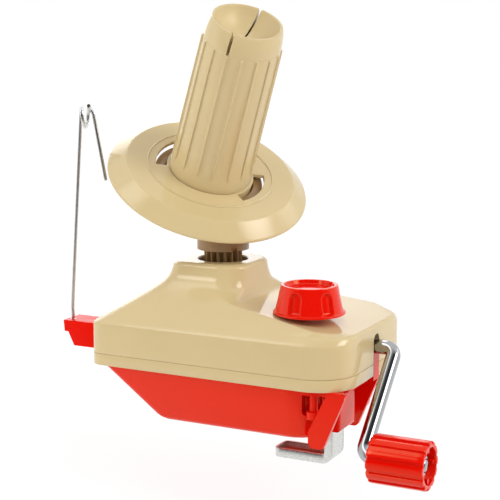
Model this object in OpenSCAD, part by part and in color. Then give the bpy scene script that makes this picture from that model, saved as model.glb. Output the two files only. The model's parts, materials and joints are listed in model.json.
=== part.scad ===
// Hand-cranked yarn ball winder with a table clamp.
// Origin: on the winding axis, at the flat underside that rests on the table.
// +X points to the crank end, -Y to the front, +Z up. Millimetres.

/* [Body] */
// Winding axis to the yarn guide end of the body
body_left = 49; // [46:0.5:60]
// Winding axis to the crank end of the body
body_right = 77; // [75:0.5:92]
// Width of the body, front to back
body_w = 82; // [78:0.5:96]
// Plan corner radius at the crank end
corner_r = 18; // [12:0.5:20]
// Plan corner radius at the guide end
guide_corner_r = 7; // [5:0.5:12]
// Wall of the moulded shells
wall = 2.2; // [1.8:0.1:2.6]
// Height of the red tub under the rim
tub_h = 23; // [21:0.5:24]
// Height of the rim frame
rim_h = 5.2; // [4.5:0.1:7]
// Height of the upper shell's side walls
side_h = 14.2; // [13:0.2:18]
// Rise of the crank end's top edge above the front one
deck_rise = 3.6; // [3.2:0.1:5]
// Slope of the deck under the knob
deck_slope = 8.6; // [6:0.2:10]
// Slope of the roof, front and back
roof_slope = 42; // [40:1:48]
// Slope of the roof toward the guide end
end_slope = 33; // [30:1:38]

/* [Turret] */
// Height of the turret's top above the seam
turret_h = 41.8; // [40.8:0.2:47.8]
// Width of the turret at its top
turret_w = 36; // [35:0.5:42]
// Corner radius of the turret at its crank side
turret_r = 12; // [8:0.5:15]
// Rounding of the turret's top edge
turret_edge = 3; // [2:0.5:5]
// Hole in the turret for the rotor
turret_hole_d = 24.4; // [22:0.2:28]

/* [Tub] */
// Winding axis to the guide end of the seat
seat_left = 14.5; // [10:0.5:20]
// Winding axis to the crank end of the tub
tub_right = 64.5; // [63:0.5:66]
// How far the tub's rim stands in from the frame above it
tub_inset = 2.6; // [2:0.1:4]
// How far the seat's long edges stand in from the tub's rim
tub_draft = 1.8; // [0.5:0.1:4]
// Corner radius of the tub at the crank end
tub_corner_r = 14; // [10:0.5:18]
// Thickness of the two table edge stops
fin_t = 2.2; // [1.6:0.1:4]
// How far the front stop stands in from the body's side
fin_inset = 5; // [4.5:0.1:6.5]
// How far the stops hang below the seat
fin_drop = 4.6; // [3:0.2:8]
// Winding axis to the face of the stops
stop_x = 58.8; // [57:0.2:60]

/* [Drive] */
// Height of the crank axis above the seam
crank_rise = 7.8; // [7.3:0.1:8.8]
// Tooth module of the crown gear and the pinion
gear_module = 1; // [0.98:0.01:1.02]
// Teeth on the pinion
pinion_teeth = 16; // [15:1:16]
// Teeth on the crown gear
crown_teeth = 54; // [52:1:54]
// Radial length of the crown gear's teeth
crown_face = 2.8; // [2:0.1:3]
// Pressure angle of the pinion
pressure_angle = 20; // [18:1:22]
// Free play at each gear mesh
backlash = 0.3; // [0.25:0.01:0.4]
// Crank rod and axle diameter
rod_d = 6; // [5:0.1:6.4]

/* [Crank] */
// Winding axis to the middle of the crank arm
arm_x = 86; // [84:0.5:96]
// Crank axis to the grip axis
crank_throw = 54; // [45:1:70]
// Bend radius of the rod, on its middle line
bend_r = 5; // [4:0.5:9]
// Arm at rest, from straight down toward the front
crank_rest = 45; // [0:5:90]
// Grip diameter over its ridges
grip_d = 21; // [18:0.5:26]
// Grip length
grip_len = 25; // [22:0.5:40]
// Flutes round the grip
grip_flutes = 12; // [8:1:16]

/* [Cone] */
// Lean of the cone from upright
tilt = 30; // [29:0.5:31]
// Direction of the lean at rest, turned from the crank end
lean = -37; // [-180:1:180]
// Turret's top to where the cone's axis crosses the winding axis
cross_h = 64; // [63:0.5:68]
// Teeth on the fixed bevel gear
sun_teeth = 10; // [10:1:11]
// Teeth on the cone's bevel gear
hub_teeth = 30; // [30:1:33]
// Crossing to the large end of the bevel teeth
bevel_far = 47; // [46:0.5:48]
// Length of the bevel teeth
bevel_face = 6; // [4:0.5:7]
// Crossing to the rim plane of the flange
flange_depth = 34.6; // [34.2:0.1:35.5]
// Flange diameter
flange_d = 96; // [88:1:104]
// Diameter of the flange's flat top
flat_d = 80; // [70:1:84]
// Height of the flange's sloping skirt
skirt_h = 7; // [6:0.2:7.4]
// Flange thickness
flange_t = 2; // [1.6:0.1:2.2]
// Tube diameter at the flange
tube_base_d = 39.4; // [38:0.2:40]
// Tube diameter over its ribs, at their top
tube_top_d = 36.6; // [34:0.2:38]
// Tube diameter at its rim
tube_rim_d = 32.2; // [30:0.2:33]
// Length of the tube above the flange
tube_len = 79; // [65:1:95]
// Plain collar above the ribs
tube_collar = 9.5; // [7:0.5:14]
// Ribs round the tube
tube_ribs = 16; // [12:2:20]
// Height of the ribs
rib_h = 0.8; // [0.5:0.1:1.2]
// Width of the ribs
rib_w = 0.9; // [0.7:0.1:1.6]
// Wall of the tube
tube_wall = 1.8; // [1.6:0.1:2.2]
// Length of each window beside the tube, in degrees
window_arc = 60; // [30:5:80]

/* [Clamp] */
// Winding axis to the clamp screw
screw_x = 51.5; // [51:0.5:53]
// Clamp screw's offset toward the front
screw_y = 16.5; // [16:0.5:17.5]
// Diameter of the clamp screw
screw_d = 6; // [5:0.1:6.4]
// Width of the clamp strap
strap_w = 13; // [11:0.5:13.4]
// Sheet thickness of the clamp strap
strap_t = 1.4; // [1.2:0.1:1.6]
// Depth of the strap over its turned edges
strap_d = 4; // [3:0.2:4.2]
// Winding axis to the outer face of the strap
strap_x = 66; // [65.8:0.1:66.4]
// Reach of the jaw under the table
jaw_reach = 29; // [20:1:34]
// Gap between the seat and the jaw at rest
jaw_gap = 10; // [6:0.5:14]
// Knob diameter at its lip
knob_d = 32; // [28:0.5:34]
// Knob diameter at its top
knob_top_d = 25.2; // [22:0.2:27]
// Knob height
knob_h = 12.8; // [10:0.2:18]
// Grooves round the knob
knob_grooves = 6; // [5:1:8]

/* [Guide] */
// Width of the guide arm's block
guide_w = 14; // [12:0.5:18]
// Length of the block outside the body
guide_len = 36; // [30:0.5:45]
// Diameter of the guide wire
wire_d = 1.8; // [1.4:0.1:2.4]
// Height of the guide wire above the block
wire_h = 105; // [98:1:110]
// Diameter of the eye in the wire
eye_d = 10; // [8:0.5:12]

/* [Clearances] */
// Radial running clearance of a shaft
run_clear = 0.05; // [0.02:0.01:0.08]
// Clearance of a sliding piece, each side
slide_clear = 0.3; // [0.2:0.05:0.4]
// Side clearance between parts that pass each other
pass_clear = 0.5; // [0.4:0.1:0.6]

/* [Hidden] */
$fn = 64;
overlap = 1;

beige = "#d6c59a";
red = "#e01808";
brown = "#8a6a4a";
steel = "#b9bcc0";
zinc = "#c9cbc6";
white = "#eceae2";

half_w = body_w / 2;
rod_r = rod_d / 2;
seam_z = tub_h + rim_h;
side_z = seam_z + side_h;
crank_z = seam_z + crank_rise;
turret_z = seam_z + turret_h;
cross_z = turret_z + cross_h;
deck_z = side_z + deck_rise;
edge_r = 2;
floor_t = wall;
seam_chamfer = 0.4;
flare = 5;
crease_r = 5;
turret_draft = 0.05;

// Roof heights, used by the loft and by what stands under it
function roof_z(x, y) = min(side_z + (half_w - abs(y)) * tan(roof_slope),
                            x < 0 ? side_z + (body_left + x) * tan(end_slope)
                                  : deck_z + (body_right - edge_r - x) * tan(deck_slope));

// Smooth maximum: blends two slopes over a length k
function blend_max(a, b, k) = (a + b + sqrt((a - b) * (a - b) + k * k)) / 2;
function ramp(a, b, t) = a + (b - a) * min(1, max(0, t));
function round_in(r, t) = t <= 0 ? 0 : r - sqrt(max(0, r * r - min(t, r) * min(t, r)));

// Half sizes of the upper shell at height z, shrunk inward by o
function turret_half(z, o) = turret_w / 2 - o + (turret_z - z) * turret_draft
                             - round_in(turret_edge, z + o - (turret_z - turret_edge));
function shell_half(z, o) =
    min(half_w - o, blend_max(turret_half(z, o),
                              half_w - (z + o / cos(roof_slope) - side_z) / tan(roof_slope), flare));
function shell_left(z, o) =
    min(body_left - o, blend_max(turret_half(z, o),
                                 body_left - (z + o / cos(end_slope) - side_z) / tan(end_slope), flare));
function deck_run(z, o) = body_right - edge_r - (z + o / cos(deck_slope) - deck_z) / tan(deck_slope);
function shell_right(z, o) =
    min(body_right - o - round_in(edge_r, z + o - (deck_z - edge_r)),
        blend_max(turret_half(z, o), deck_run(z, o), flare));
deck_top = deck_z + (body_right - edge_r - turret_w / 2) * tan(deck_slope) - 1;
function shell_corner(z) = z < deck_top
    ? ramp(corner_r, crease_r, (z - deck_z) / 2)
    : ramp(crease_r, turret_r, (z - deck_top) / 6);

// One level of a loft: a rectangle with four round corners, counted alike at every level
corner_steps = 6;
function corner_points(cx, cy, r, from, z) =
    [for (i = [0:corner_steps]) let (a = from + 90 * i / corner_steps) [cx + r * cos(a), cy + r * sin(a), z]];
function level_points(xl, xr, hw, rl, rr, z) =
    concat(corner_points(xr - rr, -hw + rr, rr, -90, z), corner_points(xr - rr, hw - rr, rr, 0, z),
           corner_points(-xl + rl, hw - rl, rl, 90, z), corner_points(-xl + rl, -hw + rl, rl, 180, z));
module loft(levels) {
    n = len(levels[0]);
    m = len(levels);
    polyhedron(
        points = [for (level = levels) each level],
        faces = concat(
            [[for (i = [0:n - 1]) i]],
            [for (k = [0:m - 2]) for (i = [0:n - 1])
                [k * n + i, (k + 1) * n + i, (k + 1) * n + (i + 1) % n]],
            [for (k = [0:m - 2]) for (i = [0:n - 1])
                [k * n + i, (k + 1) * n + (i + 1) % n, k * n + (i + 1) % n]],
            [[for (i = [n - 1:-1:0]) (m - 1) * n + i]]));
}

// The body's plan, shrunk inward by o, with true arcs
module body_plan(o) {
    xl = body_left - o;
    xr = body_right - o;
    hw = half_w - o;
    rl = guide_corner_r - min(o, guide_corner_r - 2);
    rr = corner_r - o;
    translate([-xl + rl, -hw]) square([xl - rl + xr - rr, 2 * hw]);
    translate([-xl, -hw + rl]) square([rl + overlap, 2 * (hw - rl)]);
    translate([xr - rr - overlap, -hw + rr]) square([rr + overlap, 2 * (hw - rr)]);
    for (s = [-1, 1]) {
        translate([-xl + rl, s * (hw - rl)]) circle(r = rl);
        translate([xr - rr, s * (hw - rr)]) circle(r = rr);
    }
}

// A child drawn along +Z is laid along +X, at the height of the crank axis
module along_crank(x) { translate([x, 0, crank_z]) rotate([0, 90, 0]) children(); }
// The cone's own frame: +Z up its leaning axis, +X to the low side, origin at the crossing
module lean_frame() { translate([0, 0, cross_z]) rotate([0, 0, lean]) rotate([0, tilt, 0]) children(); }
module ring(r_out, r_in, h) {
    difference() {
        cylinder(r = r_out, h = h);
        translate([0, 0, -overlap]) cylinder(r = r_in, h = h + 2 * overlap);
    }
}

// Involute gear outlines
function inv_deg(a) = tan(a) * 180 / PI - a;
function flank_deg(r, rb, half, pa) = half + inv_deg(pa) - (r <= rb ? 0 : inv_deg(acos(rb / r)));
function gear_points(teeth, pitch_r, add, ded, thin, pa) =
    let (rb = pitch_r * cos(pa),
         half = 90 / teeth - thin / 2 / pitch_r * 180 / PI,
         root = pitch_r - ded,
         tip = pitch_r + add,
         steps = 4,
         radii = concat([root], [for (i = [0:steps]) ramp(max(root + 0.05, rb), tip, i / steps)]),
         last = len(radii) - 1)
    [for (t = [0:teeth - 1])
        each concat(
            [for (i = [0:last]) let (a = 360 * t / teeth - flank_deg(radii[i], rb, half, pa))
                radii[i] * [cos(a), sin(a)]],
            [for (i = [last:-1:0]) let (a = 360 * t / teeth + flank_deg(radii[i], rb, half, pa))
                radii[i] * [cos(a), sin(a)]])];

// Drive train sizes
pinion_r = gear_module * pinion_teeth / 2;
pinion_add = 0.9 * gear_module;
pinion_ded = 1.3 * gear_module;
crown_r = gear_module * crown_teeth / 2;
crown_in = crown_r - 0.36 * crown_face;
crown_out = crown_r + 0.64 * crown_face;
tooth_tip_x = pinion_r - 0.8 * gear_module;
tooth_root_x = pinion_r + 1.3 * gear_module;
crown_disc_t = 3.2;
crown_back_x = tooth_root_x + crown_disc_t;
crown_hub_r = 7;
crown_land = 0.5;
crown_web = 3.5;
crown_hub_x = crown_back_x + 5;
mesh_z = crank_z + crown_r;

// Axle, rotor and what carries them
post_r = 5.2;
post_top = mesh_z - 6.5;
washer_t = 1;
rotor_foot = post_top + washer_t;
pinion_top = turret_z + 4.6;
collar_r = 12.8;
collar_top = pinion_top + 6;
sun_slope = atan(sin(tilt) / (hub_teeth / sun_teeth + cos(tilt)));
hub_slope = tilt - sun_slope;
bevel_near = bevel_far - bevel_face;
sun_far_r = bevel_far * sin(sun_slope);
sun_far_z = cross_z - bevel_far * cos(sun_slope);
sun_near_z = cross_z - bevel_near * cos(sun_slope);
hub_far_r = bevel_far * sin(hub_slope);
hub_far_a = bevel_far * cos(hub_slope);
hub_near_a = bevel_near * cos(hub_slope);
bevel_module = 2 * hub_far_r / hub_teeth;
bevel_add = 0.8 * bevel_module;
bevel_ded = 1.1 * bevel_module;
bevel_pressure = 25;
sun_bore_r = rod_r - 0.5;
chamber_r = sun_far_r + bevel_add + 1.2;
chamber_z = sun_far_z - 3;
shroud_wall = 2;
arm_r = 14;

// Cone sizes, measured down the leaning axis from the crossing
flat_a = flange_depth - skirt_h;
hub_r = tube_base_d / 2 + 1.1;
cup_r = hub_r + 1.2;
cup_wall = 2.2;
cup_mouth = flange_depth - 3.4;
cup_floor = hub_far_a + 2.2;
cup_bottom = cup_floor + 2.4;
rim_a = flat_a - tube_len;
hub_end = (cross_z - sun_near_z) * cos(tilt) - 1.5;
web_t = 3;
web_a = flat_a + 2;
spindle_top = web_a - web_t - 0.4;
window_in = hub_r - 1;
window_out = hub_r + 5.2;
window_mid = 45;
slit_mid = -46;
slit_w = 1.1;
slit_len = tube_collar + 0.6;
cap_r = tube_rim_d / 2 - tube_wall * 0.75;
cap_t = 1.3;
cap_dish = slit_len - cap_t - 0.2;
cap_len = slit_len + 2.4;
ring_r = 29.9;
ring_w = 0.8;
ring_h = 0.45;

// Clamp sizes
strap_in_x = strap_x - strap_d;
strap_top = crank_z - 3;
jaw_top = -jaw_gap;
deck_at_screw = roof_z(screw_x, screw_y);
knob_boss_r = 9;
knob_boss_top = deck_at_screw + 2;
knob_z = knob_boss_top + 0.4;
knob_lip_h = 1.2;
screw_foot = floor_t + 1.8;
bore_clear = 0.08;
clip_t = 1.2;
inner_boss_z = deck_at_screw - 6.5;
nut_w = 10;
nut_h = 4;
box_wall = 2;
box_half = strap_w / 2 + slide_clear + box_wall;
box_x = strap_x + slide_clear + 4.1;
box_foot = 2;
fin_mid = -screw_y;
fin_gap = 2 * (half_w - fin_inset - screw_y);

// Bearings of the crank
bush_r = 4.5;
bush_flange_r = 6;
bush_flange_t = 1;
boss_r = 7;
inner_boss_x = 21;
inner_boss_len = 8;
outer_boss_len = 6;
outer_boss_x = body_right - wall - 2.6 - outer_boss_len;
bridge_t = 4;
slot_w = rod_d + 0.8;
slot_top = crank_z + rod_r + 2.8;
tongue_top = crank_z - 2.4;
clip_groove_x = outer_boss_x + outer_boss_len + 0.2;

// Housing screws: place, head height and reach
shelf_t = 2.2;
crank_screw = [tub_right - 3, half_w - 7.5];
guide_screw = [-(body_left - 12), half_w - 11];
screw_r = 1.5;
head_r = 2.8;
head_h = 2;
screw_len = 24;
column_r = 4;
foot_rise = 0.2;
crank_seat_z = 12.5;
guide_seat_z = tub_h - shelf_t;

// Guide arm and wire
rail_w = guide_w - 2.4;
rail_low = tub_h + 2.4;
rail_h = 7.2;
rail_top = rail_low + rail_h;
rail_len = 30;
block_gap = 1;
block_x = -(body_left + block_gap);
block_end = block_x - guide_len;
block_top = rail_top + 0.6;
block_low = tub_h - 2.2;
wire_r = wire_d / 2;
wire_x = block_end + 2.4;
wire_y = -2.2;
wire_foot = block_low + 3;
wire_top = block_top + wire_h;
eye_r = eye_d / 2;
eye_pitch = 0.42 * eye_d;

// Upper shell: side walls, hipped roof, deck and turret in one moulding
module shell_solid(o, foot) {
    top = turret_z - o;
    chamfer = o == 0 ? seam_chamfer : 0;
    zs = concat([foot + seam_chamfer, side_z - o - 0.8, side_z - o + 0.6],
                [for (a = [0:30:90]) deck_z - o - edge_r + edge_r * sin(a)],
                [for (i = [1:10]) ramp(deck_z - o, deck_top - o + 2, i / 10)],
                [for (i = [1:4]) ramp(deck_top - o + 2, top - turret_edge, i / 4)],
                [for (a = [22.5:22.5:90]) top - turret_edge + turret_edge * sin(a)]);
    levels = [for (z = zs) level_points(shell_left(z, o), shell_right(z, o), shell_half(z, o),
                                        guide_corner_r - o, shell_corner(z) - o, z)];
    first = level_points(body_left - o - chamfer, body_right - o - chamfer, half_w - o - chamfer,
                         guide_corner_r - o, corner_r - o, foot);
    loft(concat([first], levels));
}
module at_housing_screws() {
    for (s = [-1, 1]) {
        translate([crank_screw[0], s * crank_screw[1], 0]) children(0);
        translate([guide_screw[0], s * guide_screw[1], 0]) children(1);
    }
}
module shell_column(place, seat) {
    foot = seam_z + foot_rise;
    top = roof_z(place[0], place[1]);
    difference() {
        translate([0, 0, foot]) cylinder(r = column_r, h = top - foot);
        translate([0, 0, foot - overlap]) cylinder(r = screw_r, h = seat + screw_len - foot + overlap);
    }
}
module upper_housing() {
    color(beige) difference() {
        union() {
            difference() {
                shell_solid(0, seam_z);
                shell_solid(wall, seam_z - overlap);
            }
            intersection() {
                shell_solid(wall / 2, seam_z - overlap);
                at_housing_screws() {
                    shell_column(crank_screw, crank_seat_z);
                    shell_column(guide_screw, guide_seat_z);
                }
            }
            translate([screw_x, -screw_y, inner_boss_z])
                cylinder(r = knob_boss_r, h = knob_boss_top - inner_boss_z);
        }
        translate([0, 0, turret_z - turret_edge - wall - overlap])
            cylinder(d = turret_hole_d, h = turret_edge + wall + 2 * overlap);
        translate([screw_x, -screw_y, inner_boss_z - overlap])
            cylinder(r = screw_d / 2 + bore_clear, h = knob_boss_top - inner_boss_z + 2 * overlap);
        crank_slot(seam_z - overlap);
        rail_opening();
    }
}
module crank_slot(foot) {
    translate([body_right - wall - 2 * overlap, 0, 0]) {
        translate([0, -slot_w / 2, foot])
            cube([wall + 4 * overlap, slot_w, slot_top - slot_w / 2 - foot]);
        translate([0, 0, slot_top - slot_w / 2])
            rotate([0, 90, 0]) cylinder(d = slot_w, h = wall + 4 * overlap);
    }
}
module rail_opening() {
    translate([-body_left - overlap, -rail_w / 2 - slide_clear, rail_low - slide_clear])
        cube([wall + guide_corner_r, rail_w + 2 * slide_clear, rail_h + 2 * slide_clear]);
}

// Rim frame: the chassis between the shells, with the crank's two bearing blocks
lip_h = 2;
lip_t = 1.4;
lip_gap = 0.3;
module rim_frame() {
    channel_x = -(body_left - wall - 0.5);
    color(beige) difference() {
        union() {
            difference() {
                translate([0, 0, tub_h]) linear_extrude(rim_h) body_plan(0);
                translate([0, 0, tub_h + floor_t]) linear_extrude(rim_h) body_plan(wall + lip_t);
            }
            translate([0, 0, seam_z - overlap]) linear_extrude(overlap + lip_h) difference() {
                body_plan(wall + lip_gap);
                body_plan(wall + lip_t);
            }
            translate([inner_boss_x + (inner_boss_len - bridge_t) / 2, -half_w + wall + lip_t / 2, tub_h])
                cube([bridge_t, 2 * half_w - 2 * wall - lip_t, 7]);
            bearing_block(inner_boss_x, inner_boss_len);
            bearing_block(outer_boss_x, outer_boss_len);
            for (s = [-1, 1])
                translate([channel_x, s * (rail_w + wall + 2 * slide_clear) / 2 - wall / 2, tub_h])
                    cube([rail_len - 2, wall, rail_h + 1]);
            at_housing_screws() {
                translate([0, 0, tub_h]) cylinder(r = column_r, h = rim_h + foot_rise);
                translate([0, 0, tub_h]) cylinder(r = column_r, h = rim_h + foot_rise);
            }
        }
        gear_opening();
        crank_slot(tub_h - overlap);
        rail_opening();
        at_housing_screws() {
            frame_screw_hole();
            frame_screw_hole();
        }
        along_crank(inner_boss_x - overlap) cylinder(r = bush_r, h = inner_boss_len + 2 * overlap);
        along_crank(outer_boss_x - overlap) cylinder(r = bush_r, h = outer_boss_len + 2 * overlap);
        translate([-body_left + wall + lip_t - overlap, -rail_w / 2 - slide_clear, rail_top + slide_clear])
            cube([overlap, rail_w + 2 * slide_clear, lip_h]);
    }
}
// Hole through a foot, and room in the lip for the shell's column above it
module frame_screw_hole() {
    translate([0, 0, tub_h - overlap]) cylinder(r = screw_r, h = rim_h + 3 * overlap);
    translate([0, 0, seam_z + foot_rise]) cylinder(r = column_r + lip_gap, h = lip_h);
}
module bearing_block(x, len) {
    along_crank(x) cylinder(r = boss_r, h = len);
    translate([x + (len - bridge_t) / 2, -boss_r, tub_h]) cube([bridge_t, 2 * boss_r, crank_z - tub_h]);
}
// Opening in the frame's floor for the crown gear, the axle post and the clamp strap
module gear_opening() {
    free_y = half_w - wall - 8;
    gear_x = inner_boss_x + (inner_boss_len - bridge_t) / 2 - 0.5;
    translate([-body_left + rail_len, -free_y, tub_h - overlap])
        cube([gear_x + body_left - rail_len, 2 * free_y, floor_t + 2 * overlap]);
    translate([screw_x - nut_w, -screw_y - box_half, tub_h - overlap])
        cube([strap_x + slide_clear - screw_x + nut_w, 2 * box_half, floor_t + 2 * overlap]);
}

// Red tub: seat, sloping guide end, stops, strap box, axle post and screw pockets
tub_half = half_w - tub_inset;
seat_half = tub_half - tub_draft;
tub_left = body_left - tub_inset - 2;
tub_edge = 2.2;
tub_guide_r = 5;
module tub_solid(o, foot) {
    run = (tub_left - seat_left) / tub_h;
    end_o = o * sqrt(1 + run * run);
    zs = concat([for (a = [0:30:90]) foot + tub_edge - tub_edge * cos(a)], [tub_h + (o == 0 ? 0 : overlap)]);
    loft([for (z = zs)
        let (in = o + round_in(tub_edge, foot + tub_edge - z))
        level_points(ramp(seat_left, tub_left, z / tub_h) - end_o + o - in, tub_right - in,
                     ramp(seat_half, tub_half, z / tub_h) - in,
                     tub_guide_r - min(o, 2), tub_corner_r - min(o, 2), z)]);
}
module fin(y) {
    tip_r = 3;
    foot_x = stop_x + 2 * tip_r;
    translate([0, y + fin_t / 2, 0]) rotate([90, 0, 0]) linear_extrude(fin_t) {
        polygon([[stop_x, tub_h], [body_right - 1, tub_h], [foot_x + 1, -fin_drop + tip_r + 0.6],
                 [foot_x, -fin_drop + tip_r], [stop_x, -fin_drop + tip_r]]);
        translate([stop_x + tip_r, -fin_drop + tip_r]) circle(r = tip_r);
    }
}
module tub() {
    color(red) difference() {
        union() {
            difference() {
                tub_solid(0, 0);
                tub_solid(wall, floor_t);
            }
            intersection() {
                tub_solid(0, 0);
                at_housing_screws() {
                    cylinder(r = column_r + 2.4, h = tub_h);
                    cylinder(r = column_r + 1, h = tub_h);
                }
            }
            shelf();
            fin(fin_mid - fin_gap / 2);
            fin(fin_mid + fin_gap / 2);
            translate([tub_right - 4, -screw_y - box_half, box_foot])
                cube([box_x - tub_right + 4, 2 * box_half, tub_h - box_foot]);
            cylinder(r = post_r, h = post_top);
            cylinder(r = post_r + 1, h = 6);
            for (a = [90, 180, 270]) rotate([0, 0, a]) post_rib();
            tongue();
        }
        translate([screw_x - nut_w / 2 - 3, -screw_y - strap_w / 2 - slide_clear, floor_t])
            cube([strap_x + slide_clear - screw_x + nut_w / 2 + 3, strap_w + 2 * slide_clear, tub_h]);
        translate([strap_in_x - slide_clear, -screw_y - strap_w / 2 - slide_clear, -overlap])
            cube([strap_d + 2 * slide_clear, strap_w + 2 * slide_clear, tub_h]);
        cylinder_cut(axle_foot - 2 * overlap, rod_r, post_top);
        at_housing_screws() {
            screw_pocket(crank_seat_z);
            guide_pocket();
        }
    }
}
module cylinder_cut(z, r, h) { translate([0, 0, z]) cylinder(r = r, h = h); }
module post_rib() {
    translate([0, 1.1, 0]) rotate([90, 0, 0])
        linear_extrude(2.2) polygon([[0, floor_t - 0.2], [3 * post_r, floor_t - 0.2],
                                     [post_r - 0.5, 0.6 * post_top], [0, 0.6 * post_top]]);
}
// The pocket leaves a pillar round the screw and a seat for its head
module screw_pocket(seat) {
    cylinder_cut(-overlap, head_r + 0.4, seat + overlap);
    cylinder_cut(seat - overlap, screw_r, tub_h);
    difference() {
        cylinder_cut(seat - 2, column_r + 1.2, tub_h - shelf_t - seat + 2);
        cylinder_cut(seat - 3, head_r + 0.6, tub_h);
    }
}
module guide_pocket() {
    cylinder_cut(-overlap, head_r + 0.4, guide_seat_z + overlap);
    cylinder_cut(guide_seat_z - overlap, screw_r, tub_h);
}
// Floor under the frame beyond the tub's end wall
module shelf() {
    translate([0, 0, tub_h - shelf_t]) linear_extrude(shelf_t) difference() {
        body_plan(tub_inset);
        translate([-body_left, -half_w]) square([body_left + tub_right - tub_corner_r, body_w]);
        translate([tub_right - tub_corner_r - overlap, -tub_half + tub_corner_r])
            square([tub_corner_r + overlap - wall, 2 * tub_half - 2 * tub_corner_r]);
        for (s = [-1, 1])
            translate([tub_right - tub_corner_r, s * (tub_half - tub_corner_r)])
                circle(r = tub_corner_r - wall);
    }
}
// Tongue that closes the crank slot under the rod
module tongue() {
    half = slot_w / 2 - 0.2;
    difference() {
        translate([body_right - wall - 0.2, -half, tub_h - shelf_t])
            cube([wall + 0.2, 2 * half, tongue_top - tub_h + shelf_t]);
        along_crank(body_right - wall - overlap) cylinder(r = rod_r + slide_clear, h = wall + 2 * overlap);
    }
    translate([body_right - tub_inset - 1.5, -half, tub_h - shelf_t])
        cube([tub_inset + 1.5, 2 * half, shelf_t]);
}

// Fasteners and fixed metal parts
module housing_screw(seat) {
    difference() {
        translate([0, 0, seat - head_h]) cylinder(r = head_r, h = head_h);
        translate([0, 0, seat - head_h - overlap]) {
            translate([-head_r * 0.6, -0.4, 0]) cube([head_r * 1.2, 0.8, overlap + 1]);
            translate([-0.4, -head_r * 0.6, 0]) cube([0.8, head_r * 1.2, overlap + 1]);
        }
    }
    translate([0, 0, seat]) cylinder(r = screw_r, h = screw_len);
}
module housing_screws() {
    color(steel) at_housing_screws() {
        housing_screw(crank_seat_z);
        housing_screw(guide_seat_z);
    }
}
axle_foot = post_top / 3;
axle_top = sun_near_z;
module axle() {
    color(steel) {
        translate([0, 0, axle_foot]) cylinder(r = rod_r, h = sun_far_z - axle_foot);
        translate([0, 0, sun_far_z]) cylinder(r = sun_bore_r, h = axle_top - sun_far_z);
    }
}
module sun_gear() {
    color(white) difference() {
        translate([0, 0, sun_far_z]) rotate([0, 0, lean + 180 + 180 / sun_teeth])
            linear_extrude(sun_near_z - sun_far_z, scale = bevel_near / bevel_far)
                polygon(gear_points(sun_teeth, sun_far_r, bevel_add * cos(sun_slope),
                                    bevel_ded * cos(sun_slope), backlash / 2, bevel_pressure));
        translate([0, 0, sun_far_z - overlap])
            cylinder(r = sun_bore_r, h = sun_near_z - sun_far_z + 2 * overlap);
    }
}
module thrust_washer() {
    color(steel) translate([0, 0, post_top]) ring(post_r, rod_r + run_clear, washer_t - run_clear);
}
module bush(len) {
    difference() {
        union() {
            cylinder(r = bush_r, h = len);
            translate([0, 0, -bush_flange_t]) cylinder(r = bush_flange_r, h = bush_flange_t);
        }
        translate([0, 0, -2 * overlap]) cylinder(r = rod_r + run_clear, h = len + 4 * overlap);
    }
}
module inner_bush() { color(white) along_crank(inner_boss_x) bush(inner_boss_len); }
module outer_bush() { color(white) along_crank(outer_boss_x) bush(outer_boss_len); }

// Crank
rod_end_x = post_r + 3.2;
grip_x = arm_x + bend_r;
pin_end_x = grip_x + grip_len - 1.4;
module crank_frame() { translate([0, 0, crank_z]) rotate([-crank_rest, 0, 0]) children(); }
module rod_x(x0, x1, z) { translate([x0, 0, z]) rotate([0, 90, 0]) cylinder(r = rod_r, h = x1 - x0); }
module rod_bend(x, z, from) {
    translate([x, 0, z]) rotate([90, 0, 0]) rotate([0, 0, from])
        rotate_extrude(angle = 90) translate([bend_r, 0]) circle(r = rod_r);
}
module crank_rod() {
    color(steel) crank_frame() {
        rod_x(rod_end_x, arm_x - bend_r, 0);
        rod_bend(arm_x - bend_r, -bend_r, 0);
        translate([arm_x, 0, -crank_throw + bend_r]) cylinder(r = rod_r, h = crank_throw - 2 * bend_r);
        rod_bend(arm_x + bend_r, -crank_throw + bend_r, 180);
        rod_x(arm_x + bend_r, pin_end_x, -crank_throw);
    }
}
module crown_tooth() {
    tip = gear_module * 0.62 - backlash / 3;
    mid = gear_module * 1.45 - backlash / 3 * 2;
    root = mid + gear_module * 0.5;
    translate([crown_in, 0, 0]) rotate([90, 0, 90]) linear_extrude(crown_out - crown_in - crown_land)
        polygon([[-tip / 2, tooth_tip_x], [tip / 2, tooth_tip_x], [mid / 2, pinion_r],
                 [root / 2, tooth_root_x], [root / 2, tooth_root_x + 0.6],
                 [-root / 2, tooth_root_x + 0.6], [-root / 2, tooth_root_x], [-mid / 2, pinion_r]]);
}
module crown_gear() {
    holes = 6;
    color(brown) along_crank(0) difference() {
        union() {
            translate([0, 0, tooth_root_x]) cylinder(r = crown_out, h = crown_disc_t);
            translate([0, 0, tooth_root_x]) cylinder(r = crown_hub_r, h = crown_hub_x - tooth_root_x);
            for (i = [0:crown_teeth - 1]) rotate([0, 0, 180 + 360 * i / crown_teeth]) crown_tooth();
        }
        translate([0, 0, tooth_tip_x - overlap])
            cylinder(r = rod_r, h = crown_hub_x - tooth_tip_x + 2 * overlap);
        for (i = [0:holes - 1]) rotate([0, 0, 360 * i / holes])
            translate([(crown_hub_r + crown_in) / 2, 0, tooth_root_x - overlap])
                cylinder(r = (crown_in - crown_hub_r) / 2 - crown_web, h = crown_disc_t + 2 * overlap);
    }
}
module crank_clip() {
    color(steel) along_crank(clip_groove_x) ring(rod_r + 2, rod_r, clip_t);
}

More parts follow.
